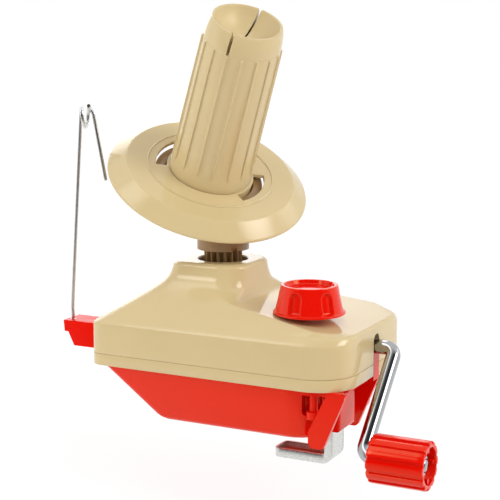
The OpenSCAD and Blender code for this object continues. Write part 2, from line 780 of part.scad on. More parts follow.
// Grip, turning on the end of the rod
grip_recess = 4;
module at_grip() { crank_frame() translate([grip_x, 0, -crank_throw]) rotate([0, 90, 0]) children(); }
module grip() {
    flute_r = grip_d / 14;
    rim_r = grip_d / 2 - 2.6;
    color(red) at_grip() difference() {
        union() {
            linear_extrude(grip_len) difference() {
                circle(d = grip_d);
                for (i = [0:grip_flutes - 1]) rotate(360 * i / grip_flutes)
                    translate([grip_d / 2 + flute_r * 0.25, 0]) circle(r = flute_r);
            }
        }
        translate([0, 0, -overlap]) cylinder(r = rod_r + run_clear, h = grip_len + 2 * overlap);
        difference() {
            translate([0, 0, grip_len - grip_recess]) cylinder(r = rim_r, h = grip_recess + overlap);
            for (i = [0:3]) rotate([0, 0, 45 + 90 * i])
                translate([rod_r + 2.6, -0.8, grip_len - grip_recess - overlap])
                    cube([grip_d, 1.6, grip_recess - 0.8 + overlap]);
        }
    }
}
module grip_retainer() {
    color(steel) at_grip() translate([0, 0, grip_len - grip_recess + run_clear * 2]) difference() {
        union() {
            cylinder(r = rod_r + 2.2, h = 0.8);
            cylinder(r = rod_r + 0.9, h = 1.8);
        }
        translate([0, 0, -overlap]) cylinder(r = rod_r, h = 4);
    }
}

// Rotor: pinion, collar and leaning cup, one moulding
module rotor() {
    notch = [2.6, 3, 1.6];
    color(brown) difference() {
        union() {
            translate([0, 0, rotor_foot]) rotate([0, 0, 180 / pinion_teeth])
                linear_extrude(pinion_top - rotor_foot + overlap)
                    polygon(gear_points(pinion_teeth, pinion_r, pinion_add, pinion_ded,
                                        backlash / 3, pressure_angle));
            translate([0, 0, pinion_top]) cylinder(r = collar_r, h = collar_top - pinion_top);
            difference() {
                union() {
                    lean_frame() translate([0, 0, -cup_bottom])
                        cylinder(r = cup_r + cup_wall, h = cup_bottom - cup_mouth);
                    cylinder_cut(pinion_top + 1, chamber_r + shroud_wall, cross_z - pinion_top);
                    hull() {
                        translate([0, 0, pinion_top + 1.5]) cylinder(r = collar_r - 2, h = 1, $fn = 32);
                        lean_frame() translate([0, 0, -cup_bottom + 0.4])
                            cylinder(r = arm_r, h = 1, $fn = 32);
                    }
                }
                lean_frame() translate([0, 0, -cup_mouth]) cylinder(r = flange_d, h = 2 * flange_d);
            }
        }
        lean_frame() translate([0, 0, -cup_floor]) cylinder(r = cup_r, h = cup_floor);
        cylinder_cut(chamber_z, chamber_r, cross_z);
        cylinder_cut(rotor_foot - overlap, rod_r + run_clear, cross_z);
        lean_frame() translate([0, 0, -cup_bottom - overlap]) cylinder(r = rod_r, h = cup_bottom);
        rotate([0, 0, lean]) translate([collar_r - notch[0], -notch[1] / 2, pinion_top - overlap])
            cube([notch[0] + overlap, notch[1], notch[2] + overlap]);
    }
}
module cone_spindle() {
    color(steel) lean_frame() translate([0, 0, -cup_bottom]) difference() {
        cylinder(r = rod_r, h = cup_bottom - spindle_top);
        translate([0, 0, cup_bottom - spindle_top - 10]) cylinder(r = screw_r, h = 12);
    }
}
module spindle_washer() {
    color(steel) lean_frame() translate([0, 0, -spindle_top]) ring(rod_r + 3, screw_r, 1);
}
module spindle_screw() {
    color(steel) lean_frame() translate([0, 0, -spindle_top - 9]) difference() {
        union() {
            cylinder(r = screw_r, h = 10);
            translate([0, 0, 10]) cylinder(r = head_r, h = head_h);
        }
        translate([-head_r * 0.6, -0.4, 11]) cube([head_r * 1.2, 0.8, 2]);
        translate([-0.4, -head_r * 0.6, 11]) cube([0.8, head_r * 1.2, 2]);
    }
}

// Cone: ribbed tube, flange and bevel gear, turning together on the spindle
function tube_r(a) = ramp(tube_top_d / 2, tube_base_d / 2,
                          (a - rim_a - tube_collar) / (tube_len - tube_collar));
rib_top = rim_a + tube_collar;
rib_low = flat_a - 6.5;
flare_top = flat_a - 13;
module cone_tube() {
    wall_top_r = tube_top_d / 2 - rib_h;
    wall_low_r = tube_r(flare_top) - rib_h;
    base_r = tube_base_d / 2;
    rim_r = tube_rim_d / 2;
    color(beige) lean_frame() difference() {
        union() {
            rotate_extrude() polygon([
                [cap_r, -rim_a], [rim_r - 0.3, -rim_a], [rim_r, -rim_a - 0.3],
                [ramp(rim_r, wall_top_r, 0.5), -rim_a - tube_collar * 0.3],
                [ramp(rim_r, wall_top_r, 0.85), -rim_a - tube_collar * 0.65],
                [wall_top_r, -rib_top], [wall_low_r, -flare_top],
                [ramp(wall_low_r, base_r, 0.2), -flat_a + 9], [ramp(wall_low_r, base_r, 0.5), -flat_a + 6],
                [ramp(wall_low_r, base_r, 0.85), -flat_a + 3.4], [base_r, -flat_a + 1.2], [base_r, -flat_a],
                [hub_r, -flat_a], [hub_r, -hub_end], [hub_r - tube_wall, -hub_end],
                [hub_r - tube_wall, -web_a], [rod_r + run_clear, -web_a],
                [rod_r + run_clear, -web_a + web_t], [wall_low_r - tube_wall, -web_a + web_t],
                [wall_top_r - tube_wall, -rim_a - cap_len - 2], [cap_r, -rim_a - cap_len]]);
            for (i = [0:tube_ribs - 1]) rotate([0, 0, slit_mid + 360 * i / tube_ribs]) rib();
        }
        for (s = [0, 180]) rotate([0, 0, slit_mid + s]) slit(cap_r - 2, tube_wall + 6);
    }
}
// A thin upright rib that runs out into the flare at the tube's foot
module rib() {
    sunk = rib_h + 0.6;
    top = rib_top + 0.4;
    translate([0, rib_w / 2, 0]) rotate([90, 0, 0]) linear_extrude(rib_w)
        polygon([[tube_r(top) - sunk, -top], [tube_r(top) - 0.3, -top],
                 [tube_r(top), -top - 0.5], [tube_r(rib_low), -rib_low - 0.2],
                 [tube_r(rib_low) - sunk, -rib_low]]);
}
// A yarn slit, opened to a V at the rim
module slit(from, len) {
    translate([from, 0, -rim_a]) rotate([90, 0, 90]) linear_extrude(len)
        polygon([[-slit_w / 2, -slit_len], [slit_w / 2, -slit_len], [slit_w / 2, -2.4],
                 [slit_w * 1.3, overlap], [-slit_w * 1.3, overlap], [-slit_w / 2, -2.4]]);
}
// Dished cap pressed into the tube's mouth; the yarn slit runs right across it
module tube_cap() {
    land = 0.4;
    sunk = 0.2;
    rise = cap_dish - sunk;
    bowl_r = ((cap_r - land) * (cap_r - land) + rise * rise) / (2 * rise);
    mid = bowl_r - cap_dish;
    skirt_r = cap_r - 1.4;
    edge = asin((cap_r - land) / bowl_r);
    under = asin(skirt_r / (bowl_r + cap_t));
    steps = 10;
    color(beige) lean_frame() translate([0, 0, -rim_a]) difference() {
        rotate_extrude() polygon(concat(
            [[cap_r, -cap_len], [cap_r, -sunk]],
            [for (i = [0:steps]) let (a = edge * (1 - i / steps)) [bowl_r * sin(a), mid - bowl_r * cos(a)]],
            [for (i = [0:steps]) let (a = under * i / steps)
                [(bowl_r + cap_t) * sin(a), mid - (bowl_r + cap_t) * cos(a)]],
            [[skirt_r, -cap_len]]));
        translate([0, 0, rim_a]) rotate([0, 0, slit_mid]) slit(-cap_r - overlap, 2 * (cap_r + overlap));
    }
}
module flange() {
    r = flange_d / 2;
    rf = flat_d / 2;
    top = -flat_a;
    rim = -flange_depth;
    lip = 1.4;
    color(beige) lean_frame() difference() {
        union() {
            rotate_extrude() polygon([
                [hub_r, top - flange_t], [hub_r, top], [rf - 2, top], [rf - 0.3, top - 0.25],
                [rf + 1.2, top - 1.05], [r - 0.4, rim + lip], [r, rim + lip * 0.6], [r, rim + 0.3],
                [r - 0.4, rim], [r - 1.6, rim], [rf + 0.2, top - flange_t - 0.8], [rf - 2, top - flange_t]]);
            rotate_extrude() polygon([
                [ring_r - ring_w / 2, top - flange_t / 2], [ring_r + ring_w / 2, top - flange_t / 2],
                [ring_r + ring_w / 2, top + ring_h / 2], [ring_r, top + ring_h],
                [ring_r - ring_w / 2, top + ring_h / 2]]);
        }
        for (s = [0, 180]) translate([0, 0, top - flange_t - overlap])
            linear_extrude(flange_t + ring_h + 2 * overlap) window(window_mid + s);
    }
}
// One curved window beside the tube
module window(mid) {
    far = window_out * 1.5;
    rotate(mid) intersection() {
        difference() {
            circle(r = window_out);
            circle(r = window_in);
        }
        polygon([[0, 0], far * [cos(window_arc / 2), -sin(window_arc / 2)], [far, 0],
                 far * [cos(window_arc / 2), sin(window_arc / 2)]]);
    }
}
module hub_gear() {
    spigot_r = hub_r - tube_wall;
    color(white) lean_frame() difference() {
        union() {
            translate([0, 0, -hub_far_a])
                linear_extrude(hub_far_a - hub_near_a, scale = bevel_near / bevel_far)
                    polygon(gear_points(hub_teeth, hub_far_r, bevel_add * cos(hub_slope),
                                        bevel_ded * cos(hub_slope), backlash / 2, bevel_pressure));
            translate([0, 0, -hub_near_a - overlap])
                cylinder(r = bevel_near * sin(hub_slope) - bevel_ded, h = overlap + hub_near_a - hub_end);
            translate([0, 0, -hub_end]) cylinder(r = spigot_r, h = hub_end - web_a);
            translate([0, 0, -cup_floor + 0.3]) cylinder(r = rod_r + 3, h = cup_floor - hub_near_a);
        }
        translate([0, 0, -cup_floor - overlap]) cylinder(r = rod_r + run_clear, h = cup_floor);
    }
}

// Clamp
module at_screw(z) { translate([screw_x, -screw_y, z]) children(); }
module knob() {
    lip_r = knob_d / 2;
    top_r = knob_top_d / 2;
    groove_r = 4.2;
    dish = 2.4;
    foot_r = lip_r - 0.9;
    lean_deg = atan((foot_r - top_r) / (knob_h - knob_lip_h));
    color(red) at_screw(knob_z) difference() {
        rotate_extrude() polygon([
            [screw_d / 2, 0], [lip_r - 0.4, 0], [lip_r, 0.4], [lip_r, knob_lip_h - 0.3], [foot_r, knob_lip_h],
            [top_r + 0.3, knob_h - 1.2], [top_r - 0.6, knob_h], [top_r - 2.4, knob_h],
            [top_r - 4, knob_h - dish], [screw_d / 2, knob_h - dish]]);
        for (i = [0:knob_grooves - 1]) rotate([0, 0, 360 * (i + 0.5) / knob_grooves - 3])
            translate([foot_r + groove_r - 1, 0, knob_lip_h]) rotate([0, -lean_deg, 0])
                cylinder(r = groove_r, h = knob_h + overlap);
    }
}
module clamp_screw() {
    color(steel) at_screw(screw_foot) {
        cylinder(r = screw_d / 2, h = knob_z + knob_h - 2.4 - screw_foot);
    }
}
module screw_clip() {
    color(steel) at_screw(inner_boss_z - 0.1 - clip_t) ring(screw_d / 2 + 2, screw_d / 2, clip_t);
}
// Pressed strap bent to a C: flange with the nut, web in the tub's box, jaw under the table.
// Its edges are turned in, so web and jaw are shallow channels.
jaw_tip = strap_x - jaw_reach;
strap_r = strap_d + 1.5;
module strap_profile(t) {
    flange_tip = screw_x - nut_w / 2 - 1.5;
    low = jaw_top - strap_d;
    translate([strap_x - t, low + strap_r]) square([t, strap_top - low - 2 * strap_r]);
    translate([jaw_tip, low]) square([jaw_reach - strap_r, t]);
    translate([flange_tip, strap_top - strap_t]) square([strap_x - strap_r - flange_tip, strap_t]);
    strap_bend(strap_x - strap_r, low + strap_r, t, -90);
    strap_bend(strap_x - strap_r, strap_top - strap_r, strap_t, 0);
}
module strap_bend(x, z, t, from) {
    translate([x, z]) intersection() {
        difference() {
            circle(r = strap_r);
            circle(r = strap_r - t);
        }
        rotate(from) square(strap_r + overlap);
    }
}
module strap_hollow() {
    low = jaw_top - strap_d;
    end = jaw_tip + strap_t;
    top = strap_top - strap_r - strap_t;
    translate([strap_x - strap_d - overlap, low + strap_r])
        square([strap_d + overlap - strap_t, top - low - strap_r]);
    translate([end, low + strap_t]) square([strap_x - strap_r - end, strap_d + overlap - strap_t]);
    translate([strap_x - strap_r, low + strap_r]) intersection() {
        circle(r = strap_r - strap_t);
        rotate(-90) square(strap_r);
    }
}
module clamp_strap() {
    inner_w = strap_w - 2 * strap_t;
    color(zinc) difference() {
        translate([0, -screw_y + strap_w / 2, 0]) rotate([90, 0, 0])
            linear_extrude(strap_w) strap_profile(strap_d);
        translate([0, -screw_y + inner_w / 2, 0]) rotate([90, 0, 0])
            linear_extrude(inner_w) strap_hollow();
        at_screw(strap_top - strap_t - overlap)
            cylinder(r = screw_d / 2 + bore_clear, h = strap_t + 2 * overlap);
        translate([jaw_tip, -screw_y, jaw_top - strap_d - overlap]) jaw_corners();
    }
}
// Rounds the corners of the jaw's end
module jaw_corners() {
    r = strap_w * 0.28;
    linear_extrude(strap_d + 2 * overlap) for (s = [-1, 1]) difference() {
        translate([-overlap, s > 0 ? strap_w / 2 - r : -strap_w / 2 - overlap])
            square([r + overlap, r + overlap]);
        translate([r, s * (strap_w / 2 - r)]) circle(r = r);
    }
}
module clamp_nut() {
    color(steel) at_screw(strap_top - strap_t - nut_h) difference() {
        cylinder(d = nut_w / cos(30), h = nut_h, $fn = 6);
        translate([0, 0, -overlap]) cylinder(r = screw_d / 2 + bore_clear, h = nut_h + 2 * overlap, $fn = 64);
    }
}

// Guide arm: block outside, rail in the frame's channel
module guide_arm() {
    step_z = block_top - 5.6;
    color(red) difference() {
        union() {
            translate([0, guide_w / 2, 0]) rotate([90, 0, 0]) linear_extrude(guide_w)
                polygon([[block_end, block_top], [block_end + 0.5, step_z], [block_end + 2.6, step_z],
                         [block_end + 6, block_low], [block_x, block_low], [block_x, block_top]]);
            translate([block_x - overlap, -rail_w / 2, rail_low])
                cube([rail_len + overlap + block_gap, rail_w, rail_h]);
        }
        translate([wire_x, wire_y, wire_foot]) cylinder(r = pin_r + run_clear, h = block_top);
        translate([block_x - 16, -guide_w / 4, block_top - 1.2]) cube([6, guide_w / 2, 1.2 + overlap]);
        translate([block_x - overlap, -rail_w / 2 + 1.8, rail_low - overlap])
            cube([rail_len + 2 * overlap + block_gap - 3, rail_w - 3.6, rail_h - 1.8 + overlap]);
    }
}

// Guide wire: foot pin, upright leg, a turn and a quarter for the eye, and a hanging tail
pin_r = wire_r + 0.4;
eye_turn = 20;
eye_z = wire_top - eye_r + wire_r;
eye_x = wire_x + 0.6 * eye_d;
tail_knee = [eye_x + 1.25 * eye_pitch + 0.34 * eye_d, wire_y, wire_top - 0.4 * eye_d];
tail_end = [tail_knee[0] + 0.62 * eye_d, wire_y, wire_top - wire_h / 3];
function eye_point(t) = let (a = 360 * t, y = -eye_r * (1 - cos(a)))
    [eye_x + eye_pitch * t - y * sin(eye_turn), wire_y + y * cos(eye_turn), eye_z + eye_r * sin(a)];
function unit(v) = v / norm(v);
function wire_path() = concat(
    [for (z = [wire_foot + 1, block_top + 4]) [wire_x, wire_y, z]],
    [for (t = [0:0.25:0.95]) ramp(1, 0, t) * [wire_x, wire_y, block_top + 8] + t * eye_point(0)],
    [for (i = [0:30]) eye_point(1.25 * i / 30)],
    [tail_knee - eye_d * [0.16, 0, -0.29], tail_knee - eye_d * [0.04, 0, -0.12]],
    [for (t = [0:0.25:1]) (1 - t) * tail_knee + t * tail_end]);
module wire_tube(path) {
    n = len(path);
    sides = 10;
    dirs = [for (i = [0:n - 1]) unit(path[min(i + 1, n - 1)] - path[max(i - 1, 0)])];
    rings = [for (i = [0:n - 1])
        let (u = unit(cross(dirs[i], [1, 0.2, 0.1])), v = cross(dirs[i], u))
        for (k = [0:sides - 1]) path[i] + wire_r * (cos(360 * k / sides) * u + sin(360 * k / sides) * v)];
    polyhedron(points = rings, faces = concat(
        [[for (k = [0:sides - 1]) k]],
        [for (i = [0:n - 2]) for (k = [0:sides - 1])
            [i * sides + k, (i + 1) * sides + k, (i + 1) * sides + (k + 1) % sides]],
        [for (i = [0:n - 2]) for (k = [0:sides - 1])
            [i * sides + k, (i + 1) * sides + (k + 1) % sides, i * sides + (k + 1) % sides]],
        [[for (k = [sides - 1:-1:0]) (n - 1) * sides + k]]));
}
module guide_wire() {
    color(steel) {
        translate([wire_x, wire_y, wire_foot]) cylinder(r = pin_r, h = block_top - wire_foot);
        wire_tube(wire_path());
    }
}

upper_housing();
rim_frame();
tub();
housing_screws();
axle();
sun_gear();
thrust_washer();
inner_bush();
outer_bush();
crank_rod();
crown_gear();
crank_clip();
grip();
grip_retainer();
rotor();
cone_spindle();
spindle_washer();
spindle_screw();
cone_tube();
tube_cap();
flange();
hub_gear();
knob();
clamp_screw();
screw_clip();
clamp_strap();
clamp_nut();
guide_arm();
guide_wire();
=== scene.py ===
import json
import math
import bmesh
import bpy
from mathutils import Matrix, Vector


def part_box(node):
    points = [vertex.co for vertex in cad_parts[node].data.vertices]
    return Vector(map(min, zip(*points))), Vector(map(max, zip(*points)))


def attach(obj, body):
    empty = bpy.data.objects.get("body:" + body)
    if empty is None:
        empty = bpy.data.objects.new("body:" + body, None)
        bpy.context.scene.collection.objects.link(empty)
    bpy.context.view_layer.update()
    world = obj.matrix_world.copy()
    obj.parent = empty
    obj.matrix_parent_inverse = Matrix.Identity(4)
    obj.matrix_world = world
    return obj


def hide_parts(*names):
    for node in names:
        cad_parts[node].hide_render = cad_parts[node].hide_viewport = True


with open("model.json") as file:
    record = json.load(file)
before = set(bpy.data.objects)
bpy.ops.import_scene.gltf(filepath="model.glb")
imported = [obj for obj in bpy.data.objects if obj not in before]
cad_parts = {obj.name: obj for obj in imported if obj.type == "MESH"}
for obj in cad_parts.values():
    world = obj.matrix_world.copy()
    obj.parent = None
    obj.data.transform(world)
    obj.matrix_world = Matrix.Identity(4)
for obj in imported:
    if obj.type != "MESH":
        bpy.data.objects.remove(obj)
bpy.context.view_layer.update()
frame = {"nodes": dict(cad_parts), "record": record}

scene = bpy.context.scene
mm = 0.001  # lengths below are in millimetres, and angles in degrees
print("frame loaded,", len(frame["nodes"]), "nodes")


# Curves and outlines

def ramp(a, b, t):
    return a + (b - a) * min(1.0, max(0.0, t))


def ease(t):
    t = min(1.0, max(0.0, t))
    return t * t * (3 - 2 * t)


def softMax(a, b, k):
    return (a + b + math.sqrt((a - b) ** 2 + k * k)) / 2


def softMin(a, b, k):
    return (a + b - math.sqrt((a - b) ** 2 + k * k)) / 2


def cosDeg(a):
    return math.cos(math.radians(a))


def sinDeg(a):
    return math.sin(math.radians(a))


def tanDeg(a):
    return math.tan(math.radians(a))


def roundIn(r, t):  # how far a quarter round has turned in after a rise of t
    return 0 if t <= 0 else r - math.sqrt(max(0, r * r - min(t, r) ** 2))


def quarter(steps):  # angles of a quarter round
    return [90 * k / steps for k in range(steps + 1)]


def circle(x, y, r, sides=48):
    turns = [2 * math.pi * j / sides for j in range(sides)]
    return [(x + r * math.cos(t), y + r * math.sin(t)) for t in turns]


def roundedLoop(corners, steps=4):  # closed outline of (x, y, radius) corners
    loop = []
    for i, (x, y, r) in enumerate(corners):
        p = Vector((x, y))
        if r <= 0:
            loop.append((x, y))
            continue
        a = Vector(corners[i - 1][:2]) - p
        b = Vector(corners[(i + 1) % len(corners)][:2]) - p
        limit = 0.49 * min(a.length, b.length)
        a.normalize()
        b.normalize()
        half = math.acos(max(-0.9999, min(0.9999, a.dot(b)))) / 2
        reach = min(r / math.tan(half), limit)
        centre = p + (a + b).normalized() * (reach / math.cos(half))
        v0, v1 = p + a * reach - centre, p + b * reach - centre
        turn = math.pi - 2 * half
        for k in range(steps + 1):
            t = k / steps
            v = (v0 * math.sin((1 - t) * turn) + v1 * math.sin(t * turn)) / math.sin(turn)
            loop.append(tuple(centre + v))
    return loop


def smoothCurve(points, at):  # monotone cubic through (x, y) points
    xs = [p[0] for p in points]
    ys = [p[1] for p in points]
    n = len(xs)
    slope = [(ys[i + 1] - ys[i]) / (xs[i + 1] - xs[i]) for i in range(n - 1)]
    tangent = [slope[0]] + [0 if slope[i - 1] * slope[i] <= 0 else
                            2 * slope[i - 1] * slope[i] / (slope[i - 1] + slope[i])
                            for i in range(1, n - 1)] + [slope[-1]]
    i = max(0, min(n - 2, sum(1 for x in xs if x <= at) - 1))
    h = xs[i + 1] - xs[i]
    t = min(1.0, max(0.0, (at - xs[i]) / h))
    return ((2 * t ** 3 - 3 * t * t + 1) * ys[i] + (t ** 3 - 2 * t * t + t) * h * tangent[i]
            + (3 * t * t - 2 * t ** 3) * ys[i + 1] + (t ** 3 - t * t) * h * tangent[i + 1])


def smoothPath(points, parts):  # Catmull-Rom through the points
    pts = [Vector(p) for p in points]
    pts = [2 * pts[0] - pts[1]] + pts + [2 * pts[-1] - pts[-2]]
    out = []
    for i in range(1, len(pts) - 2):
        p0, p1, p2, p3 = pts[i - 1:i + 3]
        for k in range(parts):
            t = k / parts
            out.append(0.5 * (2 * p1 + (p2 - p0) * t + (2 * p0 - 5 * p1 + 4 * p2 - p3) * t * t
                              + (3 * p1 - p0 - 3 * p2 + p3) * t ** 3))
    return out + [pts[-2]]


# Meshes

weld = {"shading": 1e-6, "rounding": 2e-6, "cutting": 1e-7, "flat": 0.6}  # metres, and degrees for flat


def gridFaces(rows, columns, closedRows, skip=None):
    faces = []
    for i in range(rows if closedRows else rows - 1):
        for j in range(columns):
            if skip and skip(i, j):
                continue
            a, b = i * columns, ((i + 1) % rows) * columns
            k = (j + 1) % columns
            faces.append((a + j, a + k, b + k, b + j))
    return faces


def stackFaces(rows, columns):  # rows of points with a face over each end
    return gridFaces(rows, columns, False) + [
        tuple(range(columns)), tuple(range(rows * columns - 1, (rows - 1) * columns - 1, -1))]


def prismFaces(n):
    return [tuple(range(n)), tuple(range(2 * n - 1, n - 1, -1))] + [
        (i, i + n, (i + 1) % n + n, (i + 1) % n) for i in range(n)]


def shadeByAngle(mesh, sharp):
    bm = bmesh.new()
    bm.from_mesh(mesh)
    bmesh.ops.remove_doubles(bm, verts=bm.verts, dist=weld["shading"])
    bmesh.ops.recalc_face_normals(bm, faces=bm.faces)
    for f in bm.faces:
        f.smooth = True
    for e in bm.edges:
        e.smooth = len(e.link_faces) != 2 or e.calc_face_angle(0) < math.radians(sharp)
    bm.to_mesh(mesh)
    bm.free()


def meshObject(name, verts, faces):
    mesh = bpy.data.meshes.new(name)
    mesh.from_pydata([Vector(v) * mm for v in verts], [], faces)
    piece = bpy.data.objects.new(name, mesh)
    scene.collection.objects.link(piece)
    return piece


def solidObject(name, verts, faces):  # welded and turned outwards, ready to cut or join
    piece = meshObject(name, verts, faces)
    shadeByAngle(piece.data, sharp=180)
    return piece


def place(piece, finish, body, node, sharp, frameMatrix=None, look=None):
    if frameMatrix is not None:
        moved = frameMatrix.copy()
        moved.translation = moved.translation * mm
        piece.data.transform(moved)
    shadeByAngle(piece.data, sharp)
    piece.data.materials.clear()
    piece.data.materials.append(finishes[look or finish])
    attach(piece, body)
    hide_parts(node)


def joinMesh(piece, other, operation):  # boolean with a throwaway object
    cut = piece.modifiers.new("cut", "BOOLEAN")
    cut.operation = operation
    cut.object = other
    cut.solver = "MANIFOLD"
    bpy.context.view_layer.update()
    shown = piece.evaluated_get(bpy.context.evaluated_depsgraph_get())
    done = bpy.data.meshes.new_from_object(shown)
    piece.modifiers.clear()
    old = piece.data
    piece.data = done
    done.name = old.name
    bpy.data.meshes.remove(old)
    bpy.data.objects.remove(other)


def softenEdges(piece, width, sharp=30, segments=2, where=None):  # rounds off hard edges
    bm = bmesh.new()
    bm.from_mesh(piece.data)
    bmesh.ops.remove_doubles(bm, verts=bm.verts, dist=weld["rounding"])
    if where is None:
        bmesh.ops.dissolve_limit(bm, angle_limit=math.radians(weld["flat"]), verts=bm.verts, edges=bm.edges)
    crisp = [e for e in bm.edges
             if len(e.link_faces) == 2 and e.calc_face_angle(0) > math.radians(sharp)
             and (where is None or all(where(v) for v in e.verts))]
    bmesh.ops.bevel(bm, geom=crisp, offset=width * mm, offset_type="OFFSET", segments=segments,
                    profile=0.5, affect="EDGES", clamp_overlap=True)
    loose = [e for e in bm.edges if len(e.link_faces) != 2]  # pinched shut where a rounded edge runs out
    bmesh.ops.collapse(bm, edges=loose)
    bm.to_mesh(piece.data)
    bm.free()


def prism(name, outline, low, high, axis):  # outline extruded along x, y or z
    def at(p, h):
        return {"x": (h, p[0], p[1]), "y": (p[0], h, p[1]), "z": (p[0], p[1], h)}[axis]
    verts = [at(p, h) for h in (low, high) for p in outline]
    return solidObject(name, verts, prismFaces(len(outline)))


rodTip = [(0, 0.62), (0.12, 0.86), (0.4, 1.0)]  # set back and width of a rounded end, in radii


def sweep(name, path, radius, sides, swell=None):  # round rod along a path
    pts = [Vector(p) for p in path]
    first, last = (pts[1] - pts[0]).normalized(), (pts[-1] - pts[-2]).normalized()
    stations = [(pts[0] + first * d * radius, first, s) for d, s in rodTip]
    for i in range(1, len(pts) - 1):
        stations.append((pts[i], (pts[i + 1] - pts[i - 1]).normalized(), swell(pts[i]) if swell else 1.0))
    stations += [(pts[-1] - last * d * radius, last, s) for d, s in reversed(rodTip)]
    u = stations[0][1].orthogonal().normalized()
    verts = []
    for p, d, s in stations:
        u = (u - d * u.dot(d)).normalized()
        v = d.cross(u)
        for k in range(sides):
            a = 2 * math.pi * k / sides
            verts.append(p + (u * math.cos(a) + v * math.sin(a)) * radius * s)
    return meshObject(name, verts, stackFaces(len(stations), sides))


# Finishes: one dictionary each, all patterns ride on object coordinates

finishes = {}
plasticLooks = {
    "cream_plastic": {"colour": (0.645, 0.505, 0.265), "vary": 0.018, "rough": (0.06, 0.12), "flow": 24,
                      "peel": 380, "peelDepth": 0.010, "scatter": 0.04, "gloss": 0.5, "tinge": (1, 1, 1)},
    "red_plastic": {"colour": (0.77, 0.0045, 0.0012), "vary": 0.03, "rough": (0.07, 0.14), "flow": 30,
                    "peel": 420, "peelDepth": 0.010, "scatter": 0.0, "gloss": 0.5, "tinge": (1, 0.85, 0.42)},
    "brown_plastic": {"colour": (0.31, 0.185, 0.078), "vary": 0.06, "rough": (0.24, 0.38), "flow": 60,
                      "peel": 800, "peelDepth": 0.04, "scatter": 0.0, "gloss": 0.5, "tinge": (1, 1, 1)},
    "white_plastic": {"colour": (0.78, 0.77, 0.72), "vary": 0.03, "rough": (0.30, 0.42), "flow": 60,
                      "peel": 800, "peelDepth": 0.04, "scatter": 0.04, "gloss": 0.5, "tinge": (1, 1, 1)},
}
plasticLooks["cream_satin"] = {**plasticLooks["cream_plastic"], "rough": (0.30, 0.38)}
plasticLooks["red_satin"] = {**plasticLooks["red_plastic"], "rough": (0.24, 0.34), "gloss": 0.08}
plasticGrain = {"span": (0.3, 0.7), "flowDetail": 3, "rub": 70, "rubDetail": 5, "rubRough": 0.6,
                "peelDetail": 2, "ior": 1.5, "scatterRadius": (0.002, 0.001, 0.0006), "scatterScale": 0.5}
metalLooks = {
    "chrome": {"colour": (0.43, 0.435, 0.445), "vary": 0.04, "rough": (0.04, 0.09), "grain": 2600,
               "depth": 0.01, "flake": 0},
    "wire": {"colour": (0.78, 0.78, 0.79), "vary": 0.04, "rough": (0.26, 0.34), "grain": 2600,
             "depth": 0.01, "flake": 0},
    "zinc": {"colour": (0.68, 0.68, 0.65), "vary": 0.15, "rough": (0.24, 0.38), "grain": 900,
             "depth": 0.05, "flake": 2300},
    "steel": {"colour": (0.55, 0.56, 0.58), "vary": 0.08, "rough": (0.22, 0.36), "grain": 1500,
              "depth": 0.05, "flake": 0},
}
metalGrain = {"span": (0.3, 0.7), "detail": 6, "rough": 0.7, "cloud": 220, "cloudDetail": 4,
              "cloudRough": 0.6, "cloudSpan": (0.35, 0.65)}
bumpDistance = 0.0002  # metres


def feed(tree, node, values):  # links a socket, sets a number or colour
    for key, value in values.items():
        if isinstance(value, bpy.types.NodeSocket):
            tree.links.new(value, node.inputs[key])
        else:
            node.inputs[key].default_value = value


def addNode(tree, kind, values, **settings):
    node = tree.nodes.new("ShaderNode" + kind)
    for key, value in settings.items():
        setattr(node, key, value)
    feed(tree, node, values)
    return node


def newFinish(name):
    mat = bpy.data.materials.new(name)
    mat.use_nodes = True
    tree = mat.node_tree
    finishes[name] = mat
    return tree, tree.nodes["Principled BSDF"], addNode(tree, "TexCoord", {}).outputs["Object"]


def noise(tree, where, scale, detail, roughness=0.5):
    values = {"Vector": where, "Scale": scale, "Detail": detail, "Roughness": roughness}
    return addNode(tree, "TexNoise", values).outputs["Fac"]


def spread(tree, source, low, high, toLow, toHigh):  # toLow where the source is low, toHigh where it is high
    values = {"Value": source, "From Min": low, "From Max": high, "To Min": toLow, "To Max": toHigh}
    return addNode(tree, "MapRange", values).outputs["Result"]


def tint(tree, factor, a, b):
    values = {"Factor": factor, "A": (*a, 1), "B": (*b, 1)}
    return addNode(tree, "Mix", values, data_type="RGBA").outputs["Result"]


def bump(tree, height, strength):
    values = {"Height": height, "Strength": strength, "Distance": bumpDistance}
    return addNode(tree, "Bump", values).outputs["Normal"]


def shades(look):  # a little darker and a little lighter than the colour
    return [tuple(c * (1 + side * look["vary"]) for c in look["colour"]) for side in (-1, 1)]


def makePlastic(name, look):
    g = plasticGrain
    tree, shader, where = newFinish(name)
    flow = noise(tree, where, look["flow"], g["flowDetail"])  # slow pigment streaks of the moulding
    rubbed = noise(tree, where, g["rub"], g["rubDetail"], g["rubRough"])  # handled and less handled patches
    peel = noise(tree, where, look["peel"], g["peelDetail"])
    feed(tree, shader, {
        "Base Color": tint(tree, spread(tree, flow, *g["span"], 0, 1), *shades(look)),
        "Roughness": spread(tree, rubbed, *g["span"], *look["rough"]),
        "Normal": bump(tree, peel, look["peelDepth"]),
        "IOR": g["ior"], "Specular IOR Level": look["gloss"], "Specular Tint": (*look["tinge"], 1)})
    if look["scatter"]:
        feed(tree, shader, {"Subsurface Weight": look["scatter"], "Subsurface Radius": g["scatterRadius"],
                            "Subsurface Scale": g["scatterScale"]})


def flakes(tree, where, scale):  # crystals of a plated sheet
    crystals = addNode(tree, "TexVoronoi", {"Vector": where, "Scale": scale, "Randomness": 1})
    return addNode(tree, "SeparateColor", {"Color": crystals.outputs["Color"]}).outputs["Red"]


